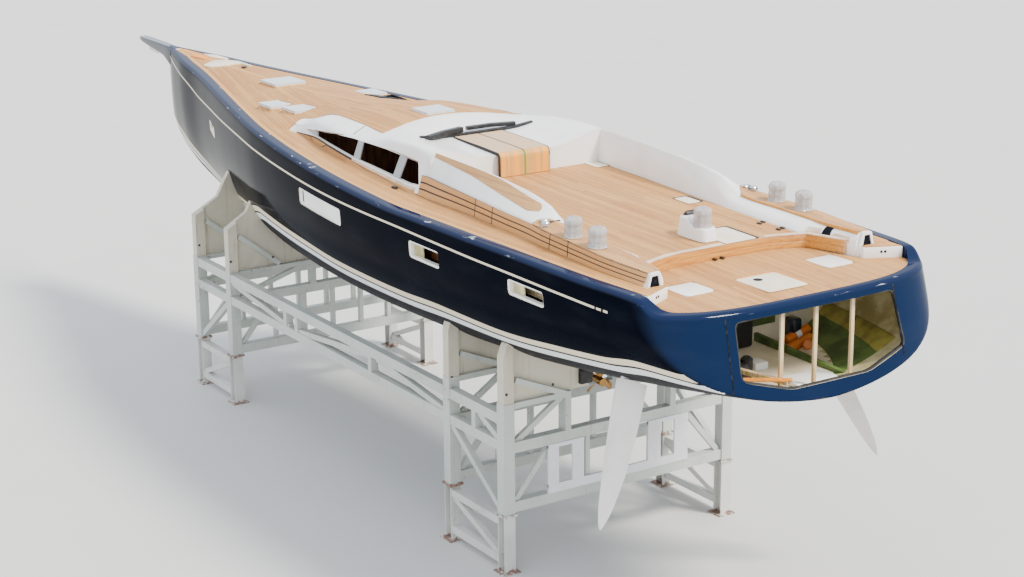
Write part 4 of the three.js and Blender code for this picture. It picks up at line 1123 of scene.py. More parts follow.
    def stern_outline(self, depth: float, half: float, steps: int = 48) -> Array:
        """A plan outline from ahead of the bow to the stern's curve, moved in by depth and half."""
        angle = np.linspace(0, math.pi, steps)
        across = np.sign(np.cos(angle)) * np.abs(np.cos(angle)) ** (2 / self.stern_power)
        along = np.sin(angle) ** (2 / self.stern_power)
        x = self.stern_start - (self.stern_depth - depth) * along
        arc = np.stack([x, (self.stern_half - half) * across], axis=1)
        return np.concatenate([[[13.0, -4.0], [13.0, 4.0], [self.stern_start, 4.0]], arc, [[self.stern_start, -4.0]]])


FORM = HullForm()


@dataclass
class Hull:
    """The hull's shell with its windows, stripes and the open transom."""

    skin: float = 0.06
    flange: float = 0.1
    cavity_fore: float = 10.9
    stern_cap: float = 0.13
    # Columns: aft x, fore x, low z aft, low z fore, height
    windows: tuple = ((-6.5, -5.51, 5.34, 5.34, 0.31), (-2.87, -0.9, 5.31, 5.33, 0.325),
                      (-9.53, -8.58, 5.385, 5.405, 0.27), (6.0, 6.5, 5.2, 5.32, 0.25))
    transom: tuple = ((-0.78, 4.6), (0.78, 4.6), (1.65, 4.84), (1.59, 5.7), (-1.59, 5.7), (-1.65, 4.84))
    # Columns: x, height of the cove stripe's middle
    cove: tuple = ((11.3, 6.26), (10.27, 6.134), (9.02, 6.012), (7.45, 5.843), (5.16, 5.815), (3.1, 5.835),
                   (0.15, 5.809), (-0.98, 5.794), (-2.91, 5.785), (-5.22, 5.8), (-6.25, 5.792), (-8.38, 5.77),
                   (-9.98, 5.735), (-11.12, 5.71), (-13.0, 5.7))
    # Columns: x, height of the upper edge of the boot stripe's cream band
    boot: tuple = ((11.3, 4.67), (5.66, 4.07), (4.62, 4.18), (3.47, 4.28), (2.3, 4.49), (1.5, 4.5), (0.5, 4.5),
                   (-0.34, 4.5), (-2.3, 4.46), (-4.7, 4.5), (-6.1, 4.57), (-7.85, 4.56), (-9.5, 4.7), (-10.6, 4.82),
                   (-11.6, 5.0), (-13.5, 5.05))
    stock_root: tuple = (-10.25, 1.88, 4.29)
    stock_tip: tuple = (-10.95, 2.87, 2.2)
    stock_room: float = 0.071
    stock_hole: tuple = ((-0.6,), (0.4,))

    def window_outline(self, row: Sequence[float], grow: float = 0.0, radius: float = 0.07) -> Array:
        """A window's rounded outline in x and z."""
        aft, fore, low_aft, low_fore, tall = row
        corners = [(aft - grow, low_aft - grow), (fore + grow, low_fore - grow),
                   (fore + grow, low_fore + tall + grow), (aft - grow, low_aft + tall + grow)]
        return rounded(corners, radius + grow)

    def transom_outline(self, grow: float = 0.0) -> Array:
        """The transom opening's rounded outline in y and z."""
        middle = np.array([0, 5.2])
        way = np.array(self.transom) - middle
        return rounded(middle + way + grow * np.sign(way), 0.12 + grow)

    def deck_hole(self) -> tuple[Array, list]:
        """The solid above the deck flange's underside, as wide as the deck."""
        edge_x = np.linspace(self.cavity_fore, -13.4, 120)
        half = FORM.deck_edge(edge_x)
        low, high = FORM.sheer(edge_x) - self.flange - 0.05, FORM.sheer(edge_x) + 0.3
        ring = np.stack([np.stack([edge_x, s * half, z], axis=-1)
                         for s, z in ((-1, low), (1, low), (1, high), (-1, high))], axis=1)
        return tube(ring)

    def cutters(self) -> list:
        """What is taken out of the hull's solid."""
        cuts = [FORM.skin(self.skin, self.cavity_fore, self.flange, 90, 40)]
        cuts.append(prism(self.transom_outline(), Plane.YZ, -13.9, -12.1))
        for row in self.windows:
            outline = self.window_outline(row)
            cuts += [prism(outline, Plane.XZ, 0.5, 3.4), prism(outline, Plane.XZ, -3.4, -0.5)]
        for side in Side:
            root, down = self.stock(side)
            cuts.append(swept(root + down * np.array(self.stock_hole), circle(self.stock_room, 32), (1, 0, 0)))
        return cuts

    def stock(self, side: Side) -> tuple[Array, Array]:
        """Where one side's rudder stock leaves the hull, and its direction down from there."""
        root, tip = (np.array(p) * (1, side.value, 1) for p in (self.stock_root, self.stock_tip))
        return root, (tip - root) / np.linalg.norm(tip - root)

    def build(self, palette: Palette) -> None:
        """Builds the shell."""
        shell = raw_object("hull_skin", FORM.skin())
        carved(shell, self.cutters())
        deck_hole = raw_object("deck_hole", self.deck_hole())
        stern = prism(FORM.stern_outline(self.stern_cap, FORM.cap), Plane.XY, 5.0, 7.5)
        carved(deck_hole, [stern], "INTERSECT")
        cut_by(shell, deck_hole, "DIFFERENCE")
        self.paint(shell, palette)
        finished(shell, palette.hull, replaces=("hull_shell",), smooth=0.5)

    def paint(self, shell: bpy.types.Object, palette: Palette) -> None:
        """Sets the stripes' attributes and gives the faces inside their own material."""
        mesh = shell.data
        x, _, z = places_of(mesh.vertices, "co").T
        values = {
            "stern": FORM.aftness(x, z),
            "cove": z - smooth_table(self.cove)(x)[..., 0],
            "boot": z - smooth_table(self.boot)(x)[..., 0],
            "roll": np.clip((z - FORM.rail(x) + FORM.roll) / FORM.roll, 0, 1),
        }
        for name, value in values.items():
            mesh.attributes.new(name, "FLOAT", "POINT").data.foreach_set("value", value.astype(np.float32))
        mesh.materials.clear()
        for material in (palette.hull, palette.inside, palette.cream):
            mesh.materials.append(material)
        centre = places_of(mesh.polygons, "center")
        depth = self.depth_within(centre)
        below = centre[:, 2] < FORM.sheer(centre[:, 0]) - FORM.roll - 0.006
        inside = (depth > 0.05) & below
        edge = (depth > 0.012) & ~inside & below
        mesh.polygons.foreach_set("material_index", (inside * 1 + edge * 2).astype(np.int32))

    def depth_within(self, points: Array) -> Array:
        """How far points lie within the skin, roughly, the least over side, bottom and stern."""
        x, y, z = points.T
        keel = FORM.table(x)[..., 1]
        share = np.clip((z - keel) / (FORM.sheer(x) - keel), 0, 1)
        side = (FORM.breadth(x, z) - np.abs(y)) * np.minimum(1, 0.05 + 1.4 * share)
        return np.minimum(side, x - FORM.stern_x(z)) * (z < FORM.sheer(x) - 1e-3)


@dataclass
class Bowsprit:
    """The moulded bowsprit with its groove and the roller bracket below it.

    Its section is a rounded box whose half width, top and underside follow a table along x.
    """

    # Columns: x, half width, top z, underside z
    rows: tuple = ((11.02, 0.1, 6.44, 5.86), (11.2, 0.118, 6.452, 5.97), (11.36, 0.126, 6.457, 6.07),
                   (11.62, 0.128, 6.461, 6.185), (12.0, 0.13, 6.467, 6.24), (12.35, 0.13, 6.47, 6.285),
                   (12.8, 0.125, 6.473, 6.35), (12.98, 0.11, 6.474, 6.385), (13.05, 0.075, 6.474, 6.4),
                   (13.068, 0.03, 6.46, 6.42))

    def build(self, palette: Palette) -> None:
        """Builds the spar and its bracket."""
        x = np.concatenate([np.linspace(11.03, 12.9, 48), np.linspace(12.92, 13.068, 16)])
        half, top, low = np.moveaxis(smooth_table(self.rows)(x), -1, 0)
        angle = np.linspace(0, 2 * math.pi, 48, endpoint=False)
        c, s = np.cos(angle), np.sin(angle)
        squareness = 0.32
        y = half[:, None] * np.sign(c) * np.abs(c) ** squareness
        z = (top + low)[:, None] / 2 + (top - low)[:, None] / 2 * np.sign(s) * np.abs(s) ** squareness
        groove = np.exp(-((y / 0.03) ** 2)) * (s > 0.3) * 0.012
        rings = np.stack([np.repeat(x[:, None], 48, axis=1), y, z - groove], axis=-1)
        made("bowsprit_spar", tube(rings), palette.hull_plain, replaces=("bowsprit",), smooth=0.7)
        cheek = rounded([(11.95, 6.16), (12.5, 6.2), (12.52, 6.3), (11.95, 6.26)], 0.03)
        cheeks = [prism(cheek, Plane.XZ, y, y + 0.012) for y in (-0.075, 0.063)]
        profile = [(0, -0.06), (0.035, -0.06), (0.022, 0), (0.035, 0.06), (0, 0.06)]
        roller = lathe(profile, (12.3, 0, 6.215), 24, (0, 1, 0))
        made("bow_roller", merged([*cheeks, roller]), palette.stainless, smooth=0.5)


@dataclass
class DeckForm:
    """The deck's and the coachroof's surface as formulas.

    At a place x a smooth curve runs through the points of the table, from the foot up to the
    crown; outboard of the foot the side deck is flat.
    """

    drop: float = 0.02
    aft_x: float = -4.4
    # Columns: x, then y and height above the deck edge of foot, shoulder, roof edge and mid, and the crown
    roof: tuple = (
        (1.5, 1.72, 0, 1.62, 0.1, 1.5, 0.19, 0.75, 0.37, 0.43),
        (0.5, 1.75, 0, 1.7, 0.27, 1.5, 0.44, 0.75, 0.53, 0.57),
        (-0.6, 1.93, 0, 1.84, 0.39, 1.56, 0.53, 0.78, 0.66, 0.7),
        (-1.8, 2.06, 0, 1.92, 0.43, 1.62, 0.6, 0.81, 0.72, 0.76),
        (-2.2, 2.09, 0, 1.915, 0.44, 1.65, 0.65, 0.825, 0.7, 0.72),
        (-2.95, 2.15, 0, 1.91, 0.46, 1.74, 0.75, 0.86, 0.62, 0.6),
        (-3.9, 2.17, 0, 1.92, 0.46, 1.79, 0.8, 0.88, 0.605, 0.59),
        (-4.4, 2.08, 0, 1.96, 0.38, 1.8, 0.8, 0.89, 0.6, 0.58),
    )
    # Columns: x, height of the crown above the deck edge
    foredeck: tuple = ((10.9, 0.01), (10.2, 0.02), (9.4, 0.03), (8.0, 0.055), (6.6, 0.085), (5.2, 0.13), (3.4, 0.24),
                       (2.0, 0.37))
    table: Callable = field(init=False)

    def __post_init__(self) -> None:
        """Joins both tables into one smooth one."""
        rows = list(self.roof)
        for x, crown in self.foredeck:
            foot = float(FORM.deck_edge(x)) * 0.88
            points = [value for q in (1, 0.75, 0.5, 0.25)
                      for value in (foot * q, crown * (1 - q * q) ** (1 + 0.6 * (q > 0.9)))]
            rows.append((x, *points, crown))
        self.table = smooth_table(rows)

    def surface(self, x: Array, lift: float = 0.0, narrow: float = 0.0) -> Array:
        """A grid over the whole deck, starboard edge first.

        Args:
            x: the places of its rows.
            lift: how far it lies above the structural deck.
            narrow: how far the coachroof's sides lie inboard of the outer ones.

        Returns:
            An array (rows, columns, 3).
        """
        columns = self.table(x)
        foot, shoulder, edge, mid = (columns[:, 2 * i:2 * i + 2] - (narrow, 0) for i in range(4))
        crown = np.stack([np.zeros(len(x)), columns[:, 8]], axis=-1)
        knots = np.stack([foot, shoulder, edge, mid, crown, mid * (-1, 1)], axis=1)
        share = np.concatenate([np.linspace(0, 2, 17), np.linspace(2, 4, 25)[1:]])
        curve = spline(knots, share)
        curve[..., 1] = np.maximum(curve[..., 1], 0)
        out = np.stack([FORM.deck_edge(x) - LAYER_GAP, np.zeros(len(x))], axis=-1)[:, None]
        side = out + (curve[:, :1] - out) * np.linspace(0, 1, 7)[None, :-1, None]
        half = np.concatenate([side, curve], axis=1)
        z = half[..., 1] + FORM.sheer(x)[:, None] - self.drop + lift
        port = np.stack([np.repeat(x[:, None], half.shape[1], axis=1), half[..., 0], z], axis=-1)
        return np.concatenate([port * (1, -1, 1), port[:, ::-1][:, 1:]], axis=1)

    def height(self, x: Array, y: Array) -> Array:
        """The structural deck's height at places."""
        x, y = np.atleast_1d(x).astype(float), np.abs(np.atleast_1d(y)).astype(float)
        grid = self.surface(x)
        half = grid[:, grid.shape[1] // 2:]
        return np.array([np.interp(v, row[:, 1], row[:, 2]) for v, row in zip(y, half)])


DECK = DeckForm()


@dataclass
class Deck:
    """The white deck moulding with its windows and hatches, and the teak laid on it."""

    thick: float = 0.05
    teak: float = 0.012
    fore_x: float = 10.8997
    # Corners in x and z of the long opening in each side of the coachroof, and of its three panes' openings
    opening: tuple = (
        (0.9, 6.335), (0.68, 6.372), (0.41, 6.395), (-0.66, 6.525), (-1.42, 6.576), (-2.7, 6.597), (-3.9, 6.57),
        (-4.17, 6.215), (-3.81, 6.19), (-2.75, 6.228), (-1.59, 6.255), (-0.44, 6.29), (0.5, 6.29),
    )
    panes: tuple = (
        ((0.44, 6.7), (0.27, 6.1), (-1.585, 6.1), (-1.67, 6.7)),
        ((-1.83, 6.7), (-1.875, 6.1), (-3.26, 6.1), (-3.19, 6.7)),
        ((-3.44, 6.7), (-3.5, 6.1), (-4.5, 6.1), (-4.5, 6.7)),
    )
    # Columns: name, x, y, half length, half width, height of the flat frame
    hatches: tuple = (
        ("forward", 5.25, 0, 0.375, 0.375, 6.46), ("port_fore", 3.35, 1.17, 0.3, 0.23, 6.375),
        ("starboard_fore", 3.35, -1.17, 0.3, 0.23, 6.375), ("port_aft", 2.38, 1.1, 0.3, 0.23, 6.43),
        ("starboard_aft", 2.38, -1.1, 0.3, 0.23, 6.43), ("middle", -1.25, 0, 0.31, 0.31, 6.875),
    )
    # Columns: x, y and z of the moulding over the windows
    moulding: tuple = ((0.45, 1.72, 6.396), (-0.66, 1.844, 6.535), (-1.42, 1.826, 6.588), (-2.7, 1.868, 6.609),
                       (-3.92, 1.902, 6.582))
    # The open hatch, and its flange's ends in x and in y
    opened: str = "starboard_aft"
    flange: tuple = (1.95, 2.64, -0.62, -1.37)
    # Corners in x and y of the teak's edge on the coachroof, to port
    roof_teak: tuple = ((1.6, 1.4), (1.1, 1.26), (0.3, 1.26), (-0.6, 1.37), (-1.12, 1.42), (-2.02, 1.56),
                        (-1.78, 0.9), (-1.67, 0.3), (-1.66, 0))

    def rows(self) -> Array:
        """The places of the deck's rows, closer together on the coachroof."""
        return np.concatenate([np.linspace(self.fore_x, 2.2, 90)[:-1], np.linspace(2.2, 0.2, 50)[:-1],
                               np.linspace(0.2, DECK.aft_x, 70)])

    def build(self, palette: Palette) -> None:
        """Builds the moulding, the bulkhead, the side decks, the rims, the glazing and the teak."""
        x = self.rows()
        upper, lower = DECK.surface(x), DECK.surface(x, -self.thick, 0.045)
        shell = raw_object("deck_shell", slab(upper, lower))
        cuts = [prism(rounded(self.opening, 0.03), Plane.XZ, low, high) for low, high in ((1.35, 2.7), (-2.7, -1.35))]
        cuts += self.hatch_holes(0.0)
        carved(shell, cuts)
        finished(shell, palette.white, replaces=("deck_moulding",), smooth=0.45)
        self.bulkhead(palette)
        self.side_decks(palette)
        for row in self.hatches:
            self.rim(row, palette)
        self.glazing(palette)
        self.sill(palette)
        self.planking(palette)

    def hatch_holes(self, room: float) -> list:
        """Blocks through the deck at the hatches, with this much room round each."""
        return [block((x - a - room, y - b - room, 5.9), (x + a + room, y + b + room, 7.2))
                for _, x, y, a, b, _ in self.hatches]

    def bulkhead(self, palette: Palette) -> None:
        """The aft wall of the coachroof, an outline under the roof's last row."""
        section = DECK.surface(np.array([DECK.aft_x]))[0]
        floor = float(FORM.sheer(DECK.aft_x)) - 0.07
        inside = section[np.abs(section[:, 1]) <= 2.1]
        outline = np.concatenate([[[-2.07, floor]], inside[:, 1:] - (0, 0.006), [[2.07, floor]]])
        made("deck_bulkhead", prism(outline, Plane.YZ, -4.398, -4.34), palette.white)

    def side_decks(self, palette: Palette) -> None:
        """The decks outboard of the coamings, with their teak on top."""
        x = np.linspace(DECK.aft_x, -11.36, 80)
        inner = np.interp(x, [-11.3, -10.2, -9.5, -8.9, -8.5, -8.0, -7.3, -5.8, -4.4],
                          [2.3, 2.315, 2.31, 2.295, 2.28, 2.24, 2.2, 2.1, 2.08])
        outer = FORM.deck_edge(x) - LAYER_GAP
        z = FORM.rail(x) - DECK.drop

        def sheet(side: Side, near: float, far: float, height: float) -> Array:
            """A grid between a side's coaming and the edge at a height."""
            y = (inner + near)[:, None] + (outer - far - inner - near)[:, None] * np.linspace(0, 1, 8)
            return np.stack(np.broadcast_arrays(x[:, None], side.value * y, (z + height)[:, None]), axis=-1)

        for side in Side:
            deck = slab(sheet(side, LAYER_GAP, 0, 0), sheet(side, LAYER_GAP, 0, -self.thick))
            made(f"side_deck_{side.word}", deck, palette.white)
            laid = slab(sheet(side, 0.03, 0.015, LAYER_GAP + self.teak), sheet(side, 0.03, 0.015, LAYER_GAP))
            teak = mapped(raw_object(f"side_teak_{side.word}", laid), self.sprung)
            finished(teak, palette.deck)

    @staticmethod
    def sprung(corners: Array) -> Array:
        """Map places: x along the plank and the distance from the deck's edge across."""
        return np.stack([corners[:, 0], FORM.deck_edge(corners[:, 0]) - np.abs(corners[:, 1])], axis=-1)

    def rim(self, row: tuple, palette: Palette) -> None:
        """A hatch's flat frame with its rounded corners and the black seal inside."""
        name, x, y, a, b, top = row

        def ring(grow: float, low: float, high: float) -> tuple[Array, list]:
            """A rounded prism about the hatch."""
            corners = rectangle((x - a - grow, y - b - grow), (x + a + grow, y + b + grow))
            return prism(rounded(corners, 0.04), Plane.XY, low, high)

        frame_piece = raw_object(f"hatch_rim_{name}", ring(0.002, top - 0.15, top))
        carved(frame_piece, [ring(-0.04, top - 0.2, top + 0.05)])
        bevelled(frame_piece, 0.006, 2)
        if name == self.opened:
            finished(frame_piece, palette.screen)
        else:
            finished(frame_piece, palette.white)
        corners = rectangle((x - a, y - b), (x + a, y + b))
        foot_z = DECK.height(corners[:, 0], corners[:, 1]) - 0.02
        way = np.sign(corners - (x, y))
        base = np.repeat(foot_z, 6)
        levels = []
        for share in np.linspace(0, 1, 7):
            grow = 0.006 + 0.07 * (1 - share) ** 2
            outline = rounded(corners + way * grow, 0.06)
            levels.append(np.concatenate([outline, (base + (top - 0.012 - base) * share)[:, None]], axis=1))
        plinth = raw_object(f"hatch_plinth_{name}", tube(np.stack(levels)))
        carved(plinth, [ring(0.0, 5.8, top + 0.2)])
        mapped(plinth, Deck.sprung)
        finished(plinth, palette.deck, smooth=0.7)
        if name == self.opened:
            # Painted shade: a dark block fills the open hatch below its frame, standing in for the shade inside
            made("open_hatch_well", ring(-0.002, top - 0.12, top - 0.03), palette.screen)
            flange = carved(raw_object("open_hatch_flange", self.flange_sheet()), [ring(0.0, 5.8, top + 0.3)])
            finished(flange, palette.screen)
        seal = raw_object(f"hatch_seal_{name}", ring(-0.01, top - 0.002, top + 0.004))
        carved(seal, [ring(-0.03, top - 0.1, top + 0.1)])
        finished(seal, palette.rubber)

    def flange_sheet(self) -> tuple[Array, list]:
        """The open hatch's flange before its hole is cut: a sheet that follows the roof."""
        low_x, high_x, near_y, far_y = self.flange
        x, y = np.meshgrid(np.linspace(low_x, high_x, 24), np.linspace(far_y, near_y, 24), indexing="ij")
        z = DECK.height(x.ravel(), y.ravel()).reshape(x.shape)
        return slab(*(np.stack([x, y, z + lift], -1) for lift in (0.03, 0.002)))

    def band(self, x: Array, low: Array, high: Array, out: float, deep: float, side: Side) -> tuple[Array, list]:
        """A sheet on the coachroof's side between two shares of the way from its foot to its shoulder.

        Args:
            x: its places.
            low: the lower edge's share at each place.
            high: the upper edge's share at each place.
            out: how far its outer face lies outside the skin.
            deep: how far its inner face lies inside the skin.
            side: which side.

        Returns:
            Vertices and faces.
        """
        columns = DECK.table(x)
        foot, shoulder = columns[:, None, 0:2], columns[:, None, 2:4]
        share = low[:, None] + (high - low)[:, None] * np.linspace(0, 1, 22)
        grid = foot + (shoulder - foot) * share[..., None]
        z = grid[..., 1] + (FORM.sheer(x) - DECK.drop)[:, None]

        def sheet(off: float) -> Array:
            """The grid moved outwards."""
            return np.stack(np.broadcast_arrays(x[:, None], side.value * (grid[..., 0] + off), z), -1)

        return slab(sheet(out), sheet(-deep))

    def glazing(self, palette: Palette) -> None:
        """The grey rebate with its slanted bars, the moulding over it and the seam across the roof."""
        x = np.linspace(1.2, -4.3, 120)
        line_x = np.linspace(0.44, -3.91, 80)
        line_y, line_z = np.moveaxis(smooth_table(self.moulding)(line_x), -1, 0)
        seam_x, seam_y = np.linspace(-1.12, -1.3, 10), np.linspace(1.44, 1.8, 10)
        seam_z = DECK.height(seam_x, seam_y)
        for side in Side:
            low, high = sorted((side.value * 1.3, side.value * 2.6))
            rebate = self.band(x, 0.1 + 0 * x, 1.22 + 0 * x, -0.012, 0.04, side)
            pane = raw_object(f"window_rebate_{side.word}", rebate)
            carved(pane, [prism(rounded(self.opening, 0.03), Plane.XZ, low, high)], "INTERSECT")
            carved(pane, [prism(np.array(corners), Plane.XZ, low, high) for corners in self.panes])
            finished(pane, palette.primer, smooth=0.4)
            line = np.stack([line_x, side.value * (line_y + 0.004), line_z], -1)
            made(f"window_moulding_{side.word}", swept(line, circle(0.008, 8)), palette.joinery)
            seam = np.stack([seam_x, side.value * seam_y, seam_z], -1)
            made(f"roof_seam_{side.word}", swept(seam, circle(0.009, 8)), palette.rubber)

    def sill(self, palette: Palette) -> None:
        """The rail under the windows, dark along the fore part and pale along the aft part."""
        rows = (("dark", 1.28, -1.6, palette.rubber, "black_fitting"), ("pale", -1.602, -4.1, palette.coving, "teak"))
        for word, start, end, material, slot in rows:
            x = np.linspace(start, end, 60)
            foot = np.interp(x, [-3.81, -2.75, -1.59, -0.44, 0.5, 1.3], [0.3, 0.325, 0.35, 0.4, 0.45, 0.4])
            for side in Side:
                rail = self.band(x, foot - 0.14, foot - 0.045, 0.014, 0.02, side)
                made(f"window_rail_{word}_{side.word}", rail, material)
                strip = self.band(x, 0 * foot - 0.03, foot - 0.13, 0.012, 0.02, side)
                teak = mapped(raw_object(f"window_teak_{word}_{side.word}", strip), self.sprung)
                finished(teak, palette.deck)

    def planking(self, palette: Palette) -> None:
        """The teak on the foredeck, the coachroof's fore part and the decks beside it."""
        x = self.rows()
        teak = raw_object("deck_teak", slab(DECK.surface(x, LAYER_GAP + self.teak), DECK.surface(x, LAYER_GAP)))
        edge_x = np.linspace(10.75, -4.4, 120)
        foot_x = np.linspace(-4.4, 1.6, 40)
        foot = np.interp(foot_x, [-4.4, -3.9, -2.95, -2.2, -1.8, -0.6, 0.5, 1.5, 1.6],
                         [2.08, 2.17, 2.15, 2.09, 2.06, 1.93, 1.75, 1.72, 1.72])
        half = np.concatenate([np.stack([edge_x, FORM.deck_edge(edge_x) - 0.015], axis=1),
                               np.stack([foot_x, foot], axis=1), self.roof_teak])
        outline = np.concatenate([half, (half * (1, -1))[::-1][1:]])
        carved(teak, [prism(outline, Plane.XY, 5.8, 7.4)], "INTERSECT")
        carved(teak, self.hatch_holes(0.045))
        mapped(teak, self.sprung)
        finished(teak, palette.deck, replaces=("teak_foredeck",), smooth=0.5)


def along_x(x: Array, outlines: Array) -> tuple[Array, list]:
    """A closed solid through outlines (rows, points, 2) of y and z that stand at places x."""
    return tube(np.concatenate([np.repeat(x[:, None, None], outlines.shape[1], axis=1), outlines], axis=-1))


def mirrored(solid: tuple[Array, list], side: Side) -> tuple[Array, list]:
    """A solid that was shaped for port, set on the given side."""
    vertices, faces = solid
    return vertices * (1, side.value, 1), faces


@dataclass
class Coaming:
    """The moulded ridges beside the cockpit, their teak inlay, cladding and top.

    The section is an outline with rounded corners whose points follow the table smoothly.
    """

    # Columns: x, inner foot y, ridge y, ridge z, outer top y, outer top z, outer foot y
    rows: tuple = (
        (-4.4, 1.72, 1.8, 6.858, 1.98, 6.42, 2.08), (-5.8, 1.69, 1.79, 6.83, 2.06, 6.39, 2.1),
        (-7.3, 1.63, 1.8, 6.74, 2.17, 6.37, 2.2), (-8.0, 1.6, 1.82, 6.63, 2.2, 6.36, 2.24),
        (-8.5, 1.58, 1.86, 6.375, 2.25, 6.34, 2.28), (-8.9, 1.57, 1.875, 6.34, 2.27, 6.33, 2.295),
        (-9.5, 1.555, 1.9, 6.325, 2.29, 6.315, 2.31), (-10.2, 1.56, 1.925, 6.298, 2.298, 6.288, 2.325),
        (-10.5, 1.75, 1.945, 6.287, 2.28, 6.277, 2.318), (-11.3, 1.95, 2.06, 6.265, 2.215, 6.255, 2.3),
    )
    fore: float = -4.4
    sole_aft: float = 6.11
    sole_slope: float = 0.0155
    table: Callable = field(init=False)

    def __post_init__(self) -> None:
        """Makes the table smooth."""
        self.table = smooth_table(self.rows)

    def sole(self, x: Array) -> Array:
        """The height of the cockpit sole's laminate."""
        return self.sole_aft + (np.asarray(x, float) + 10.2) * self.sole_slope

    def body(self) -> tuple[Array, list]:
        """The moulding itself."""
        x = np.concatenate([np.linspace(-4.1, -4.4, 8), np.linspace(-4.5, -7.6, 40), np.linspace(-7.65, -9.0, 40),
                            np.linspace(-9.05, -11.3, 40)])
        foot, ridge_y, ridge_z, top_y, top_z, out_y = np.moveaxis(self.table(x), -1, 0)
        sink = np.clip((x - self.fore) / 0.3, 0, 1) ** 1.5 * 0.05
        ridge_z, top_y, top_z, out_y = ridge_z - sink, top_y - 6 * sink, top_z - sink, out_y - 6 * sink
        low = FORM.sheer(x) - 0.07
        hollow = 0.25 * ridge_y + 0.75 * foot
        points = [(foot, low), (foot, self.sole(x) + 0.02), (hollow, self.sole(x) * 0.45 + ridge_z * 0.55),
                  (ridge_y, ridge_z), (top_y, top_z), (out_y, FORM.rail(x) + 0.01), (out_y, low)]
        corners = np.stack([np.stack(pair, axis=-1) for pair in points], axis=1)
        return along_x(x, rounded_rows(corners, (0.005, 0.03, 0.2, 0.07, 0.05, 0.01, 0.005), 7))

    def strip(self, x: Array, low: tuple, high: tuple, lift: float, thick: float,
              columns: int = 10) -> tuple[Array, list]:
        """A sheet of wood on the section's line between two of its points.

        Args:
            x: its places.
            low: y and z of its lower or inner edge.
            high: y and z of its upper or outer edge.
            lift: how far it starts above the moulding.
            thick: its thickness.
            columns: points across.

        Returns:
            Vertices and faces.
        """
        share = np.linspace(0, 1, columns)
        y = low[0][:, None] + (high[0] - low[0])[:, None] * share
        z = low[1][:, None] + (high[1] - low[1])[:, None] * share
        grid = np.stack([np.repeat(x[:, None], columns, axis=1), y, z], axis=-1)
        normal = normals_of(grid)
        return slab(grid + normal * (lift + thick), grid + normal * lift)

    def clad(self, side: Side, palette: Palette) -> None:
        """The three boards on the outboard face."""
        x = np.linspace(-4.24, -11.28, 150)
        columns = self.table(np.minimum(x, self.fore))
        top_y, top_z, out_y = columns[:, 3], columns[:, 4], columns[:, 5]
        swell = np.clip((x - self.fore) / 0.4, 0, 1) * 0.05
        foot = (out_y + 0.012 + swell, FORM.rail(x) - 0.006)
        head = (top_y + 0.012 + swell, top_z - 0.01)
        piece = raw_object(f"coaming_boards_{side.word}", mirrored(self.strip(x, foot, head, 0.0, 0.02), side))
        mapped(piece, self.board_map)
        finished(piece, palette.boards, smooth=0.5)

    def board_map(self, corners: Array) -> Array:
        """Map places: x along, and the share of the boards' height across."""
        x = corners[:, 0]
        top = self.table(np.minimum(x, self.fore))[:, 4]
        foot = FORM.rail(x)
        return np.stack([x, (corners[:, 2] - foot) / (top - foot)], axis=-1)

    def inlay(self, side: Side, palette: Palette) -> None:
        """The long leaf of teak let into the slope below the ridge."""
        x = np.linspace(-4.3, -7.98, 70)
        upper = np.interp(x, [-8.01, -7.9, -6.64, -5.35, -4.25], [6.52, 6.6, 6.75, 6.855, 6.845])
        lower = np.interp(x, [-8.01, -7.7, -6.64, -5.67, -4.25], [6.51, 6.475, 6.57, 6.665, 6.755])
        columns = self.table(np.minimum(x, self.fore))
        ridge_y, ridge_z, top_y, top_z = columns[:, 1], columns[:, 2], columns[:, 3], columns[:, 4]

        def at(z: Array) -> tuple[Array, Array]:
            """The slope's y and z where it has this height."""
            share = np.clip((ridge_z - z) / (ridge_z - top_z), 0.09, 1)
            return ridge_y + (top_y - ridge_y) * share, ridge_z + (top_z - ridge_z) * share

        leaf = mirrored(self.strip(x, at(lower), at(upper), -0.008, 0.012), side)
        piece = raw_object(f"coaming_inlay_{side.word}", leaf)
        mapped(piece, lambda corners: corners[:, (0, 2)] * (1, 1.6))
        finished(piece, palette.cladding_fine, smooth=0.5)

    def top(self, side: Side, palette: Palette) -> None:
        """The planked top of the low part, from the ridge's end to the console."""
        x = np.linspace(-8.1, -11.27, 90)
        _, ridge_y, ridge_z, top_y, top_z, _ = np.moveaxis(self.table(x), -1, 0)
        nose = np.clip((-8.1 - x) / 0.45, 0, 1) ** 0.6
        inner = top_y - (top_y - ridge_y + 0.04) * nose
        inner_z = ridge_z - (ridge_z - top_z) * (inner - ridge_y) / (top_y - ridge_y)
        sheet = mirrored(self.strip(x, (inner, inner_z), (top_y + 0.016, top_z - 0.001), 0.0, 0.018), side)
        piece = raw_object(f"coaming_top_{side.word}", sheet)
        mapped(piece, lambda corners: corners[:, :2] * (1, side.value))
        finished(piece, palette.cladding_fine, smooth=0.5)
        low = x < -8.5
        lip = np.stack([x[low], side.value * (ridge_y[low] - 0.048), ridge_z[low] - 0.012], axis=-1)
        made(f"coaming_lip_{side.word}", swept(lip, bar(0.012, 0.03, 0.008)), palette.varnish)

    def build(self, palette: Palette) -> None:
        """Builds both sides."""
        for side in Side:
            made(f"coaming_moulding_{side.word}", mirrored(self.body(), side), palette.white,
                 replaces=(f"coaming_{side.word}",), smooth=0.7)
            self.clad(side, palette)
            self.inlay(side, palette)
            self.top(side, palette)


COAMING = Coaming()


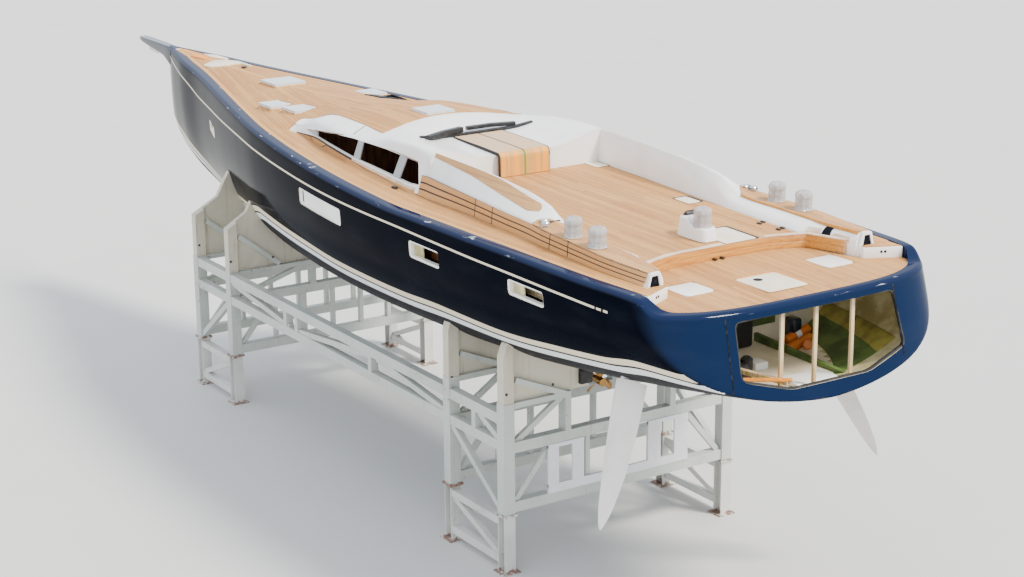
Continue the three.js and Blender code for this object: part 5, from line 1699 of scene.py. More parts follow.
@dataclass
class Cockpit:
    """The step with its varnished riser, and the lids and fittings let into the sole."""

    riser_thick: float = 0.035
    riser_top: float = 6.124
    riser_foot: float = 5.903
    # The step's edge in plan, on the port side from the centreline out and aft
    edge: tuple = ((-10.2, 0.0), (-10.21, 0.55), (-10.23, 1.0), (-10.33, 1.35), (-10.42, 1.6), (-10.47, 1.66),
                   (-10.6, 1.7), (-11.2, 1.92))

    def step_path(self) -> Array:
        """The step's edge as points over both sides, port first."""
        half = np.array(self.edge)
        line = spline(half[None, ::-1], np.linspace(0, len(half) - 1, 60))[0]
        return np.concatenate([line, (line * (1, -1))[::-1][1:]])

    def wall(self, low: float, high: float, inner: float, outer: float, reach: tuple = (-3, 3)) -> tuple[Array, list]:
        """A strip that stands or lies along the step's edge, between two offsets from it, aft positive."""
        path = self.step_path()
        path = path[(path[:, 0] > -11.16) & (path[:, 1] > reach[0]) & (path[:, 1] < reach[1])]
        way = ways_along(path)
        aft = np.stack([way[:, 1], -way[:, 0]], axis=1)
        near, far = path + aft * inner, path + aft * outer
        edges = ((near, low), (far, low), (far, high), (near, high))
        return tube(np.stack([placed(points, Plane.XY, z) for points, z in edges], axis=1))

    def step(self, palette: Palette) -> None:
        """The riser of two boards and the pale coving on its top."""
        top, foot = self.riser_top, self.riser_foot
        middle = (top + foot) / 2
        rows = (("lower", foot, middle - 0.002, ("step_riser",)), ("upper", middle + 0.002, top - 0.002, ()))
        for word, low, high, nodes in rows:
            made(f"riser_{word}", self.wall(low, high, -0.01, self.riser_thick), palette.varnish,
                 bevel=0.002, replaces=nodes)
        for word, reach in (("port", (-0.1, 3)), ("starboard", (-3, -0.86))):
            coving = self.wall(top - 0.004, top + 0.012, -0.045, self.riser_thick + 0.006, reach)
            made(f"step_coving_{word}", coving, palette.coving, bevel=0.003)

    def lids(self, palette: Palette) -> None:
        """The lids in the sole, with the dark joints along their edges."""
        # Columns: name, x aft, x fore, y starboard, y port
        rows = (("drain", -10.225, -9.4, -0.77, -0.13), ("port_well", -7.86, -7.43, -1.47, -1.2),
                ("fore_well", -4.8, -4.38, -1.69, -1.41))
        for name, aft, fore, low, high in rows:
            z = float(COAMING.sole((aft + fore) / 2)) + 0.0135
            corners = rectangle((aft, low), (fore, high))
            joint = rounded(corners + rectangle((-0.012, -0.07), (0.05, 0.012)), 0.06)
            pieces = (("joint", joint, 0.002, palette.rubber, "black_fitting", 0.0),
                      ("lid", rounded(corners, 0.05), 0.007, palette.cream, "white_laminate", 0.003))
            for word, outline, depth, material, slot, bevel in pieces:
                vertices, faces = prism(outline, Plane.XY, z - 0.004, z + depth)
                vertices[:, 2] += (vertices[:, 0] - (aft + fore) / 2) * COAMING.sole_slope
                made(f"sole_{word}_{name}", (vertices, faces), material, bevel=bevel)

    def fittings(self, palette: Palette) -> None:
        """Small black and bright deck fittings."""
        # Columns: x, y, z, length, width, height
        rows = ((-8.2, -2.22, 6.345, 0.28, 0.24, 0.05), (-8.25, 1.97, 6.375, 0.26, 0.26, 0.05),
                (-10.27, 0.13, 5.91, 0.09, 0.05, 0.03), (-10.27, -0.02, 5.91, 0.09, 0.05, 0.03),
                (-9.55, -1.38, 6.135, 0.1, 0.05, 0.02), (-9.5, -1.5, 6.135, 0.1, 0.05, 0.02),
                (-10.02, -1.4, 6.13, 0.1, 0.05, 0.02), (-9.98, -1.52, 6.13, 0.1, 0.05, 0.02),
                (7.56, -0.16, 6.43, 0.12, 0.1, 0.03), (-3.6, 2.235, 6.07, 0.14, 0.06, 0.04))
        parts = [block((x - a / 2, y - b / 2, z), (x + a / 2, y + b / 2, z + c)) for x, y, z, a, b, c in rows]
        made("deck_fittings", merged(parts), palette.black, bevel=0.006)
        port_line = np.array([[-3.06, 1.2, 6.775], [-2.86, 0.72, 6.785], [-2.76, 0.28, 6.79]])
        starboard_line = np.array([[-2.72, 0.14, 6.785], [-2.71, -0.4, 6.785], [-2.8, -0.9, 6.775]])
        housings = [swept(port_line, bar(0.06, 0.05, 0.015)), swept(starboard_line, bar(0.05, 0.035, 0.012))]
        made("roof_housings", merged(housings), palette.black, bevel=0.004)
        sheave = [(0, 0), (0.075, 0), (0.08, 0.02), (0.05, 0.035), (0.05, 0.06), (0.072, 0.075), (0.06, 0.09),
                  (0, 0.09)]
        blocks = [lathe(sheave, (x, s * y, z), 28)
                  for x, y, z in ((-8.28, 2.1, 6.365), (-8.42, 2.17, 6.36)) for s in (1, -1)]
        made("sheet_blocks", merged(blocks), palette.stainless, smooth=0.5)

    def recess(self, palette: Palette) -> None:
        """The pale panels in the starboard coaming's inner face, and a dark sheet between them that is the painted
        shade of the opening there.
        """
        # Columns: name, fore and aft end, lower and upper height, how proud it stands
        rows = (("panel_fore", -10.38, -10.6, 6.12, 6.21, 0.0, palette.coving, "white_laminate"),
                # The hole is painted shade: a dark sheet stands in for the shade inside the opening
                ("hole", -10.65, -10.79, 6.03, 6.25, 0.012, palette.screen, "black_fitting"),
                ("panel_aft", -10.85, -11.17, 6.09, 6.18, 0.0, palette.coving, "white_laminate"))
        for name, fore, aft, low, high, proud, material, slot in rows:
            x = np.linspace(fore, aft, 8)
            foot, ridge = COAMING.table(x)[:, 0:2].T
            top = COAMING.table(x)[:, 2]
            z = np.repeat(np.linspace(low, high, 8)[None], 8, 0)
            sole = COAMING.sole(x)
            knee = (0.45 * sole + 0.55 * top)[:, None]
            rise = np.clip((z - sole[:, None] - 0.02) / (knee - sole[:, None] - 0.02), 0, 1)
            upper = np.clip((z - knee) / (top[:, None] - knee), 0, 1)
            y = foot[:, None] + (ridge - foot)[:, None] * (0.25 * rise + 0.75 * upper) - 0.01
            grid = np.stack([np.repeat(x[:, None], 8, 1), -y, z], -1)
            made(f"recess_{name}", slab(grid + (0, proud, 0), grid - (0, 0.03, 0)), material)

    def build(self, palette: Palette) -> None:
        """Builds the step, lids, fittings and recess."""
        self.step(palette)
        self.lids(palette)
        self.fittings(palette)
        self.recess(palette)


@dataclass
class Decking:
    """The cockpit sole and the aft deck with their teak, both cut to the step's curved edge."""

    teak: float = 0.012
    thick: float = 0.05
    fore: float = -4.4006
    lid_x: float = -11.28
    lid_y: float = 1.42
    lid_half: float = 0.283
    # Fore and aft end and half width of a lid's opening
    opening: tuple = (-10.972, -11.57, 0.29)

    def edge_x(self, y: Array) -> Array:
        """Where the step's edge lies at a distance from the centreline."""
        points = np.array(Cockpit().edge)[:6]
        return np.interp(np.abs(y), points[:, 1], points[:, 0])

    def sole(self, low: float, high: float, gap: float) -> tuple[Array, list]:
        """A layer of the cockpit sole between two heights above its laminate."""
        u, v = np.linspace(0, 1, 60)[:, None], np.linspace(-1, 1, 41)[None]
        x = self.fore + (self.edge_x(v * 1.56) - self.fore) * u
        y = v * (COAMING.table(x)[..., 0] - gap)
        z = COAMING.sole(x)
        return slab(np.stack([x, y, z + high], -1), np.stack([x, y, z + low], -1))

    def aft(self, low: float, high: float, gap: float) -> tuple[Array, list]:
        """A layer of the aft deck between two heights above its laminate, sloped like the gunwale."""
        path = Cockpit().step_path()
        path = path[(path[:, 1] >= 0) & (path[:, 0] > -11.28)][::-1] - (0.02, 0)
        side_x = np.linspace(-11.31, -11.9, 12)
        side = np.stack([side_x, FORM.deck_edge(side_x) - gap], -1)
        stern = FORM.stern_outline(0.13 + gap, FORM.cap + gap, 120)
        stern = stern[(stern[:, 0] < -11.9) & (stern[:, 1] > 0) & (stern[:, 1] < side[-1, 1])]
        half = np.concatenate([path, [[-11.31, 1.95 - gap]], side, stern])
        outline = np.concatenate([half, (half * (1, -1))[::-1]])
        vertices, faces = prism(outline, Plane.XY, low, high)
        vertices[:, 2] += FORM.sheer(vertices[:, 0]) - DECK.drop
        return vertices, faces

    def build(self, palette: Palette) -> None:
        """Builds all four layers and cuts the lids' openings."""
        made("sole_laminate", self.sole(-self.thick, 0, LAYER_GAP), palette.white,
             replaces=("cockpit_sole",))
        made("sole_planks", self.sole(LAYER_GAP, self.teak, 0.012), palette.straight, replaces=("teak_sole",))
        fore, aft, half = self.opening
        holes = [block((aft, y - half, 5.6), (fore, y + half, 6.05)) for y in (self.lid_y, -self.lid_y)]
        panel = block((-12.1, -0.27, 5.864), (-11.26, 0.53, 6.05))
        deck = carved(raw_object("aft_laminate", self.aft(-self.thick, 0, 0.0)), holes)
        finished(deck, palette.white, replaces=("aft_deck",))
        planks = carved(raw_object("aft_planks", self.aft(LAYER_GAP, self.teak, 0.015)), [*holes, panel])
        finished(planks, palette.straight, replaces=("teak_aft_deck",))
        for side in Side:
            self.lid(side, palette)
        self.panel(palette)

    def lid(self, side: Side, palette: Palette) -> None:
        """A locker lid with rounded corners on its own body, and the dark joint round it."""
        x, y, half = self.lid_x, side.value * self.lid_y, self.lid_half
        top = float(FORM.sheer(x)) - DECK.drop + self.teak
        corners = rectangle((x - half, y - half), (x + half, y + half))
        made(f"locker_lid_{side.word}", prism(rounded(corners, 0.11), Plane.XY, top - 0.03, top + 0.003),
             palette.white, body=f"{side.word}_locker", bevel=0.005,
             replaces=(f"aft_lid_{side.word}",))
        pin = [(0, -0.04), (0.0045, -0.04), (0.0045, 0.04), (0, 0.04)]
        pins = [lathe(pin, (x + 0.285, y + k, top - 0.005), 12, (0, 1, 0)) for k in (-0.17, 0.17)]
        made(f"locker_pins_{side.word}", merged(pins), palette.stainless, body=f"{side.word}_locker")

    def panel(self, palette: Palette) -> None:
        """The loose board on the aft deck, with its raw edges and a dark disc that is the painted shade of its round
        hole.
        """
        low = float(FORM.sheer(-11.26)) - DECK.drop + LAYER_GAP
        board = rounded(rectangle((-12.096, -0.266), (-11.264, 0.526)), 0.06)
        made("aft_board", prism(board, Plane.XY, low, low + 0.014), palette.cream, bevel=0.003,
             replaces=("aft_panel",))
        raw = [block((-11.262, -0.24, low + 0.001), (-11.222, 0.5, low + 0.016)),
               block((-12.05, -0.3, low - 0.006), (-11.29, -0.268, low + 0.015))]
        made("aft_board_edges", merged(raw), palette.raw_edge)
        # Painted shade: a thin dark disc on the board stands in for the shade inside the round hole
        hole = lathe([(0, 0), (0.08, 0), (0.08, 0.0012), (0, 0.0012)], (-11.47, 0.23, low + 0.0135), 32)
        made("aft_board_hole", hole, palette.screen)


@dataclass
class Console:
    """The plate that closes a coaming, with a dark sheet in its opening as painted shade, and the end of the raised
    side deck.
    """

    start: float = -11.3006
    # Corners in y and z
    plate: tuple = ((1.945, 5.862), (2.325, 5.862), (2.235, 6.27), (2.045, 6.28))
    window: tuple = ((2.04, 6.0), (2.255, 6.0), (2.205, 6.215), (2.085, 6.22))
    # Corners in x and y of the side deck's end
    landing: tuple = ((-11.362, 1.975), (-11.45, 1.98), (-11.73, 2.57), (-11.362, 2.585))

    def build(self, side: Side, palette: Palette) -> None:
        """Builds one side's plate and the white block that ends the side deck."""
        def across(outline: Array, low: float, high: float) -> tuple[Array, list]:
            """A prism of the outline on this side, between two distances from the plate's fore face."""
            return mirrored(prism(outline, Plane.YZ, self.start + low, self.start + high), side)

        window = rounded(self.window, 0.015)
        plate = raw_object(f"console_plate_{side.word}", across(rounded(self.plate, 0.03), -0.055, 0))
        carved(plate, [across(window, -0.07, -0.025)])
        bevelled(plate, 0.006)
        finished(plate, palette.white, replaces=(f"console_{side.word}",), smooth=0.5)
        # Painted shade: a dark sheet at the back of the opening stands in for the shade inside it
        made(f"console_opening_{side.word}", across(window, -0.03, -0.02), palette.screen)
        top = float(FORM.rail(-11.5)) - DECK.drop
        corners = np.array(self.landing)
        made(f"deck_end_{side.word}", mirrored(prism(corners, Plane.XY, 5.856, top), side), palette.white,
             bevel=0.008)
        laid = corners.mean(axis=0) + (corners - corners.mean(axis=0)) * 0.93
        teak = raw_object(f"deck_end_teak_{side.word}", mirrored(prism(laid, Plane.XY, top, top + 0.012), side))
        finished(mapped(teak, Deck.sprung), palette.deck)
        along = corners[2] - corners[1]
        face = np.array([-along[1], along[0], 0]) / np.linalg.norm(along)
        holes = [lathe([(0, -0.01), (0.022, -0.01), (0.022, 0.005), (0, 0.005)],
                       (*(corners[1] + along * share), 5.97), 20, face) for share in (0.46, 0.56)]
        made(f"console_holes_{side.word}", mirrored(merged(holes), side), palette.black)


@dataclass
class Winch:
    """A winch under clear wrapping: a turned drum, and a loose film bag tied round its foot.

    The film's radius is r(h) * (1 + 0.035*sin(9a) + 0.02*sin(23a + 16h) + 0.012*sin(41a - 30h)),
    with a the angle and h the height.
    """

    radius: float = 0.125
    tall: float = 0.3

    def build(self, name: str, place: Sequence[float], palette: Palette) -> None:
        """Builds the drum and its wrapping on a place."""
        r, h = self.radius, self.tall
        profile = [(0, -0.02), (0.145, -0.02), (0.145, 0.02), (0.11, 0.035), (0.1, 0.07), (0.094, 0.13), (0.112, 0.2),
                   (0.118, 0.215), (0.1, 0.225), (0.07, 0.235), (0.07, 0.265), (0, 0.27)]
        made(f"winch_drum_{name}", lathe(profile, place, 40), palette.stainless, smooth=0.5)
        t = np.linspace(0, 1, 34)
        height = np.concatenate([h * 0.88 * t, h * (0.88 + 0.24 * np.linspace(0.1, 1, 14))])
        body = r * (1.16 - 0.03 * np.sin(t * 3) + 0.02 * np.cos(t * 14))
        body[:3] = r * np.array([1.3, 1.24, 1.18])
        crown = r * 1.12 * np.sqrt(np.clip(1 - np.linspace(0.1, 1, 14) ** 2.2, 0, 1))
        radius = np.concatenate([body, crown])
        a = np.linspace(0, 2 * math.pi, 96, endpoint=False)
        level = height[:, None]
        ripple = 1 + 0.035 * np.sin(9 * a) + 0.02 * np.sin(23 * a + 16 * level) + 0.012 * np.sin(41 * a - 30 * level)
        ring = radius[:, None] * ripple
        centre = np.asarray(place, float)
        grid = np.stack([ring * np.cos(a), ring * np.sin(a), np.repeat(level, 96, 1)], -1) + centre
        faces = grid_faces(len(height), 96, wrap=True).tolist() + [list(range(96))[::-1]]
        piece = raw_object(f"winch_wrap_{name}", (grid.reshape(-1, 3), faces))

        def unrolled(corners: Array) -> Array:
            """Map places: twice round the drum, and the share of its height."""
            x, y, z = (corners - centre).T
            return np.stack([np.abs(np.arctan2(y, x)) / math.pi * 2, z / h], -1)

        mapped(piece, unrolled)
        node = f"winch_{name}" if name != "pedestal" else "winch_pedestal_drum"
        finished(piece, palette.film, replaces=(node,), smooth=1.2)


@dataclass
class Pedestal:
    """The cockpit's winch pedestal: a rounded tapering moulding with an instrument at its fore end."""

    x: float = -9.63
    long: float = 0.385
    wide: float = 0.185
    top: float = 6.47

    def build(self, palette: Palette) -> None:
        """Builds the moulding and the instrument."""
        foot = float(COAMING.sole(self.x + self.long)) + 0.0126
        t = np.concatenate([np.linspace(0, 0.9, 12), 1 - 0.1 * (1 - np.sin(np.linspace(0.15, math.pi / 2, 8)))])
        edge = 1 - np.clip((t - 0.9) / 0.1, 0, 1) ** 2 * 0.22
        a = np.linspace(0, 2 * math.pi, 72, endpoint=False)
        shape = np.stack([np.sign(np.cos(a)) * np.abs(np.cos(a)) ** 0.5,
                          np.sign(np.sin(a)) * np.abs(np.sin(a)) ** 0.5], -1)
        spread = (1 - 0.14 * t) * edge
        grid = np.empty((len(t), 72, 3))
        grid[..., 0] = self.x + self.long * shape[None, :, 0] * spread[:, None]
        grid[..., 1] = self.wide * shape[None, :, 1] * spread[:, None]
        share = np.clip((0.25 - shape[None, :, 0]) / 0.4, 0, 1)
        fall = share**2 * (3 - 2 * share) * 0.13 * t[:, None] ** 3
        grid[..., 2] = foot + (self.top - foot) * t[:, None] - fall
        made("pedestal_moulding", tube(grid), palette.white, replaces=("winch_pedestal",),
             smooth=0.7)
        screen = swept(np.array([[-9.37, 0.0, 6.44], [-9.4, 0, 6.47], [-9.46, 0, 6.53]]), bar(0.1, 0.03, 0.02),
                       (1, 0, 0))
        made("pedestal_instrument", screen, palette.black, bevel=0.006)


@dataclass
class Cover:
    """The padded board over the companionway, folded down its aft side, with a strap and dark edges."""

    fore: float = -2.92
    aft: float = -4.53
    half: float = 0.545
    foot: float = 6.22

    def path(self) -> Array:
        """The middle line of the cover's outer face, fore edge first, in x and z."""
        x = np.linspace(self.fore, self.aft + 0.11, 30)
        z = np.interp(x, [self.aft, -3.9, self.fore], [6.665, 6.69, 6.705])
        a = np.linspace(0, math.pi / 2, 10)[1:]
        bend = np.stack([x[-1] - 0.105 * np.sin(a), z[-1] - 0.105 * (1 - np.cos(a))], -1)
        down = np.stack([np.full(16, bend[-1, 0]) - np.linspace(0.002, 0.012, 16),
                         np.linspace(bend[-1, 1] - 0.02, self.foot, 16)], -1)
        return np.concatenate([np.stack([x, z], -1), bend, down])

    def sheet(self, low: float, high: float, out: float, thick: float, wave: float = 0.0, start: int = 0,
              end: int | None = None) -> tuple[Array, list]:
        """A strip of the cover between two y, lifted off the path by out and thick below that."""
        path = self.path()[start:end]
        y = np.linspace(low, high, 44)
        way = ways_along(path)
        normal = np.stack([way[:, 1], -way[:, 0]], -1)
        normal *= -1 if normal[0, 1] < 0 else 1
        hang = np.clip((np.arange(len(path))[:, None] - 34) / 10, 0, 1)
        lift = out + wave * (np.sin(y * 9) + 0.5 * np.sin(y * 21 + 1)) * hang

        def grid(offset: Array) -> Array:
            """The sheet at an offset."""
            px = path[:, None, 0] + normal[:, None, 0] * offset
            pz = path[:, None, 1] + normal[:, None, 1] * offset
            return np.stack([px, np.broadcast_to(y, px.shape), pz], -1)

        return slab(grid(lift), grid(lift * 0 + out - thick))

    def build(self, palette: Palette) -> None:
        """Builds the board, its edges and its strap."""
        piece = raw_object("cover_board", self.sheet(-self.half, self.half, -0.004, 0.05, 0.003))
        finished(piece, palette.cover, replaces=("companionway_cover",), smooth=0.8)
        edges = [self.sheet(-self.half - 0.006, -self.half + 0.012, -0.0015, 0.055),
                 self.sheet(self.half - 0.012, self.half + 0.006, -0.0015, 0.055)]
        made("cover_edges", merged(edges), palette.rubber)
        made("cover_strap", self.sheet(-0.014, 0.014, -0.001, 0.006, 0.0, 0, 34), palette.black)
        made("cover_strap_aft", self.sheet(-0.018, 0.018, 0.001, 0.008, 0.0, 32), palette.strap)


@dataclass
class Rudder:
    """A rudder: foil sections along the stock, round at the stock's line and fine at the tip.

    A section's half thickness at a share c of the chord from the nose is
    t * (2.969*sqrt(c) - 1.26*c - 3.516*c^2 + 2.843*c^3 - 1.036*c^4) / 2.
    """

    # Columns: distance down the stock, ahead of it, behind it, thickness
    rows: tuple = ((0.07, 0.19, 0.56, 0.12), (0.7, 0.185, 0.53, 0.105), (1.5, 0.15, 0.43, 0.08),
                   (2.1, 0.1, 0.27, 0.052), (2.36, 0.05, 0.15, 0.036), (2.5, -0.02, 0.05, 0.014))
    fall: float = 0.2

    def build(self, hull: Hull, side: Side, palette: Palette) -> None:
        """Builds one rudder on its body."""
        root, down = hull.stock(side)
        across = np.cross(down, (1, 0, 0))
        across /= np.linalg.norm(across)
        ahead = np.cross(across, down)
        d = np.concatenate([np.linspace(0.07, 2.1, 44), 2.1 + 0.4 * np.sin(np.linspace(0, math.pi / 2, 14))[1:]])
        fore, back, thick = np.moveaxis(smooth_table(self.rows)(d), -1, 0)
        c = (1 - np.cos(np.linspace(0, math.pi, 36))) / 2
        half = (2.969 * np.sqrt(c) - 1.26 * c - 3.516 * c**2 + 2.843 * c**3 - 1.036 * c**4) / 2
        chord = np.concatenate([c, c[-2:0:-1]])
        side_of = np.concatenate([half, -half[-2:0:-1]])
        u = fore[:, None] - (fore + back)[:, None] * chord
        v = thick[:, None] * side_of
        drop = np.clip(-u, 0, None) * self.fall * np.clip((0.7 - d) / 0.63, 0, 1)[:, None]
        grid = root + (d[:, None] + drop)[..., None] * down + u[..., None] * ahead + v[..., None] * across
        stock = swept(root + down * np.array([[-0.2], [0.12]]), circle(0.068, 40), (1, 0, 0))
        made(f"rudder_blade_{side.word}", tube(grid), palette.blade, body=f"{side.word}_rudder",
             replaces=(f"rudder_{side.word}",), smooth=0.9)
        made(f"rudder_stock_{side.word}", stock, palette.blade, body=f"{side.word}_rudder")


@dataclass
class Stern:
    """The window linings with what shows behind them, and the transom opening's seal with the painted shadow lines
    beside it.
    """

    def build(self, hull: Hull, palette: Palette) -> None:
        """Builds the pieces about the openings."""
        for index, row in enumerate(hull.windows):
            for side in Side:
                self.lining(hull, index, row, side, palette)
        self.landing(hull, palette)

    @staticmethod
    def lining(hull: Hull, index: int, row: tuple, side: Side, palette: Palette) -> None:
        """A window's lining, a ring that follows the skin, and what stands behind it."""
        outer, inner = hull.window_outline(row, -0.002), hull.window_outline(row, -0.034, 0.06)

        def at(outline: Array, sink: float) -> Array:
            """The outline set on the skin and sunk."""
            y = FORM.breadth(outline[:, 0], outline[:, 1]) - sink
            return np.stack([outline[:, 0], side.value * y, outline[:, 1]], -1)

        ring = hoop(np.stack([at(outer, 0.012), at(inner, 0.02), at(inner, 0.11), at(outer, 0.11)]))
        made(f"window_lining_{index}_{side.word}", ring, palette.white, smooth=0.5)
        aft, fore, _, low_fore, tall = row
        boards = {1: (inner, 0.03, palette.white), 3: (inner, 0.03, palette.cream)}
        split = fore - 0.34 * (fore - aft)
        part = rectangle((split, low_fore + 0.034), (fore - 0.034, low_fore + tall - 0.034))
        inner_wall = inner + (inner - inner.mean(axis=0)) * 0.6
        rows = [("board", *boards.get(index, (part, 0.09, palette.inside)), "white_laminate")]
        if index in (0, 2):
            rows.append(("cabin", inner_wall, 0.3, palette.pine if index else palette.joinery, "pine" if index
                         else "joinery"))
        for word, outline, sink, material, slot in rows:
            made(f"window_{word}_{index}_{side.word}", between(at(outline, sink), at(outline, sink + 0.02)), material)
        if index in (1, 3):
            stile = rectangle((fore - 0.16, low_fore + 0.06), (fore - 0.13, low_fore + tall - 0.05))
            made(f"window_bar_{index}_{side.word}", between(at(stile, 0.024), at(stile, 0.034)), palette.rubber)

    @staticmethod
    def landing(hull: Hull, palette: Palette) -> None:
        """A black seal round the transom opening's edge, and beside it two dark strips that are painted shadow lines
        of the door recess's edges.
        """
        outline = hull.transom_outline(-0.004)
        inner = hull.transom_outline(-0.022)

        def at(points: Array, sink: float) -> Array:
            """Points set on the stern's skin and sunk."""
            y, z = points[:, 0], points[:, 1]
            along = (1 - (np.abs(y) / FORM.stern_half) ** FORM.stern_power) ** (1 / FORM.stern_power)
            x = FORM.stern_start - (FORM.rake_top - z) * FORM.rake - FORM.stern_depth * along
            return np.stack([x + sink, y, z], -1)

        ring = hoop(np.stack([at(outline, 0.002), at(inner, 0.004), at(inner, 0.055), at(outline, 0.055)]))
        made("transom_seal", ring, palette.rubber, smooth=0.5)
        # Columns: name, y at the top and bottom of the near edge, then of the far edge
        rows = (("port", 1.716, 1.798, 1.738, 1.822), ("starboard", -1.578, -1.563, -1.615, -1.592))
        top, low = 5.8, 4.7
        z = np.linspace(top, low, 30)[:, None]
        share = (top - z) / 1.1
        # Painted shadow: each strip is a dark line where the door recess's edge falls in shade
        for word, near_top, near_low, far_top, far_low in rows:
            near, far = near_top + (near_low - near_top) * share, far_top + (far_low - far_top) * share
            y, high = np.broadcast_arrays(near + (far - near) * np.linspace(0, 1, 5), z)
            sheets = [at(np.stack([y.ravel(), high.ravel()], -1), sink).reshape(30, 5, 3) for sink in (-0.004, 0.01)]
            made(f"transom_step_{word}", slab(*sheets), palette.screen, smooth=0.5)


@dataclass
class Garage:
    """What shows through the open transom: the inner skin's bands, the floor, the stringer and loose boards."""

    fore: float = -10.052
    floor: float = 4.3
    rail_y: float = -0.9
    # Columns: lowest corner in x and y, then the highest in x, y and z, of the dark gear on the floor
    gear: tuple = ((-10.3, -0.7, -10.06, 0.4, 4.9), (-10.75, 0.5, -10.32, 1.3, 4.62), (-11.1, 0.45, -10.8, 1.0, 4.5),
                   (-11.6, 0.9, -11.3, 1.25, 4.42), (-10.7, 0.1, -10.4, 0.44, 4.45))
    drums: tuple = ((-11.25, 1.12), (-11.7, 0.68), (-11.45, 0.4))
    battens: tuple = ((-12.5, 0.6), (-12.47, -0.1), (-12.43, -0.885))
    # The long floats' direction, and their middles
    lie: tuple = (0.05, 0.49, -0.16)
    floats: tuple = ((-10.32, -1.62, 4.36), (-10.5, -1.52, 4.27))

    def bottom(self, x: Array, y: float) -> Array:
        """The inner skin's height over the bilge at a distance from the centreline.

        It is the hull's formula solved for the height: s = 1 - (1 - (y/half)^(1/bilge))^(1/power).
        """
        half, keel, power = np.moveaxis(FORM.table(x), -1, 0)
        share = 1 - (1 - np.clip(y / (half - 0.06), 0, 1) ** (1 / FORM.bilge)) ** (1 / power)
        return keel + 0.06 + share * (FORM.sheer(x) - keel - 0.06)

    def band(self, low: float, high: float, out: float, side: Side) -> tuple[Array, list]:
        """A band on the inner skin between two heights, standing proud of it by out."""
        x, z = np.broadcast_arrays(np.linspace(self.fore, -12.2, 40)[:, None], np.linspace(low, high, 10)[None])
        y = FORM.breadth(x, z, 0.06)
        return slab(np.stack([x, side.value * (y - out), z], -1), np.stack([x, side.value * (y + 0.006), z], -1))

    def build(self, palette: Palette) -> None:
        """Builds what shows through the open transom."""
        self.room(palette)
        self.gear_on_floor(palette)
        self.timber(palette)

    def room(self, palette: Palette) -> None:
        """The floor, the stringer, the wall and the bands on the skin."""
        x = np.linspace(self.fore, -12.25, 40)
        wide = FORM.breadth(x, np.full(40, self.floor), 0.08)
        across = self.rail_y + (wide - self.rail_y)[:, None] * np.linspace(0, 1, 12)
        grid = np.stack(np.broadcast_arrays(x[:, None], across, self.floor), -1)
        made("garage_deck", slab(grid, grid - (0, 0, 0.02)), palette.cream,
             replaces=("garage_floor",))
        low = self.bottom(x, 0.94)
        tall = np.linspace(4.44, 4.36, 40)
        outer, inner = np.full(40, self.rail_y - 0.08), np.full(40, self.rail_y)
        rail = np.stack([np.stack(pair, -1) for pair in ((outer, low), (inner, low), (inner, tall), (outer, tall))],
                        1)
        made("garage_stringer", along_x(x, rail), palette.green, bevel=0.012)
        z = np.linspace(3.87, 5.75, 30)
        edge = FORM.breadth(np.full(30, -10.06), z, 0.07)
        wall = np.concatenate([np.stack([edge, z], -1), np.stack([-edge, z], -1)[::-1]])
        made("garage_wall", prism(wall, Plane.YZ, -10.052, -10.044), palette.cream)
        for side in Side:
            made(f"bilge_green_{side.word}", self.band(4.3, 4.56, 0.012, side), palette.green)
            made(f"bilge_yellow_{side.word}", self.band(4.55, 4.72, 0.05, side), palette.yellow,
                 bevel=0.01)
        made("garage_green_panel", block((-10.09, -1.33, 4.56), (-10.053, -0.72, 4.84)), palette.green,
             bevel=0.006)

    def gear_on_floor(self, palette: Palette) -> None:
        """The dark gear, the drums, the bag, the floats and the box."""
        gear = [block((x0, y0, self.floor), (x1, y1, z1)) for x0, y0, x1, y1, z1 in self.gear]
        made("garage_dark_gear", merged(gear), palette.rubber, bevel=0.06)
        drum = [(0, 0), (0.09, 0), (0.1, 0.02), (0.1, 0.3), (0.06, 0.34), (0, 0.34)]
        drums = [lathe(drum, (x, y, self.floor + 0.003), 24) for x, y in self.drums]
        made("garage_drums", merged(drums), palette.rubber, smooth=0.5)
        made("garage_bag", block((-10.36, -1.7, 4.14), (-10.1, -1.5, 4.64)), palette.hull_plain,
             bevel=0.05)
        long_float = [(0, -0.26), (0.05, -0.26), (0.08, -0.23), (0.08, 0.23), (0.05, 0.26), (0, 0.26)]
        ball = [(0, -0.05), (0.075, -0.04), (0.09, 0), (0.075, 0.04), (0, 0.05)]
        floats = [lathe(long_float, place, 28, self.lie) for place in self.floats]
        floats.append(lathe(ball, (-10.72, -1.5, 4.3), 28, (-0.8, 0.4, 0.4)))
        made("garage_floats", merged(floats), palette.orange, smooth=0.6)
        band = [(0.081, -0.05), (0.083, -0.05), (0.083, 0.05), (0.081, 0.05), (0.081, -0.05)]
        made("float_bands", lathe(band, self.floats[0], 28, self.lie), palette.white)
        made("garage_box", block((-11.32, -0.16, self.floor), (-11.06, 0.1, 4.42)), palette.white,
             bevel=0.015)

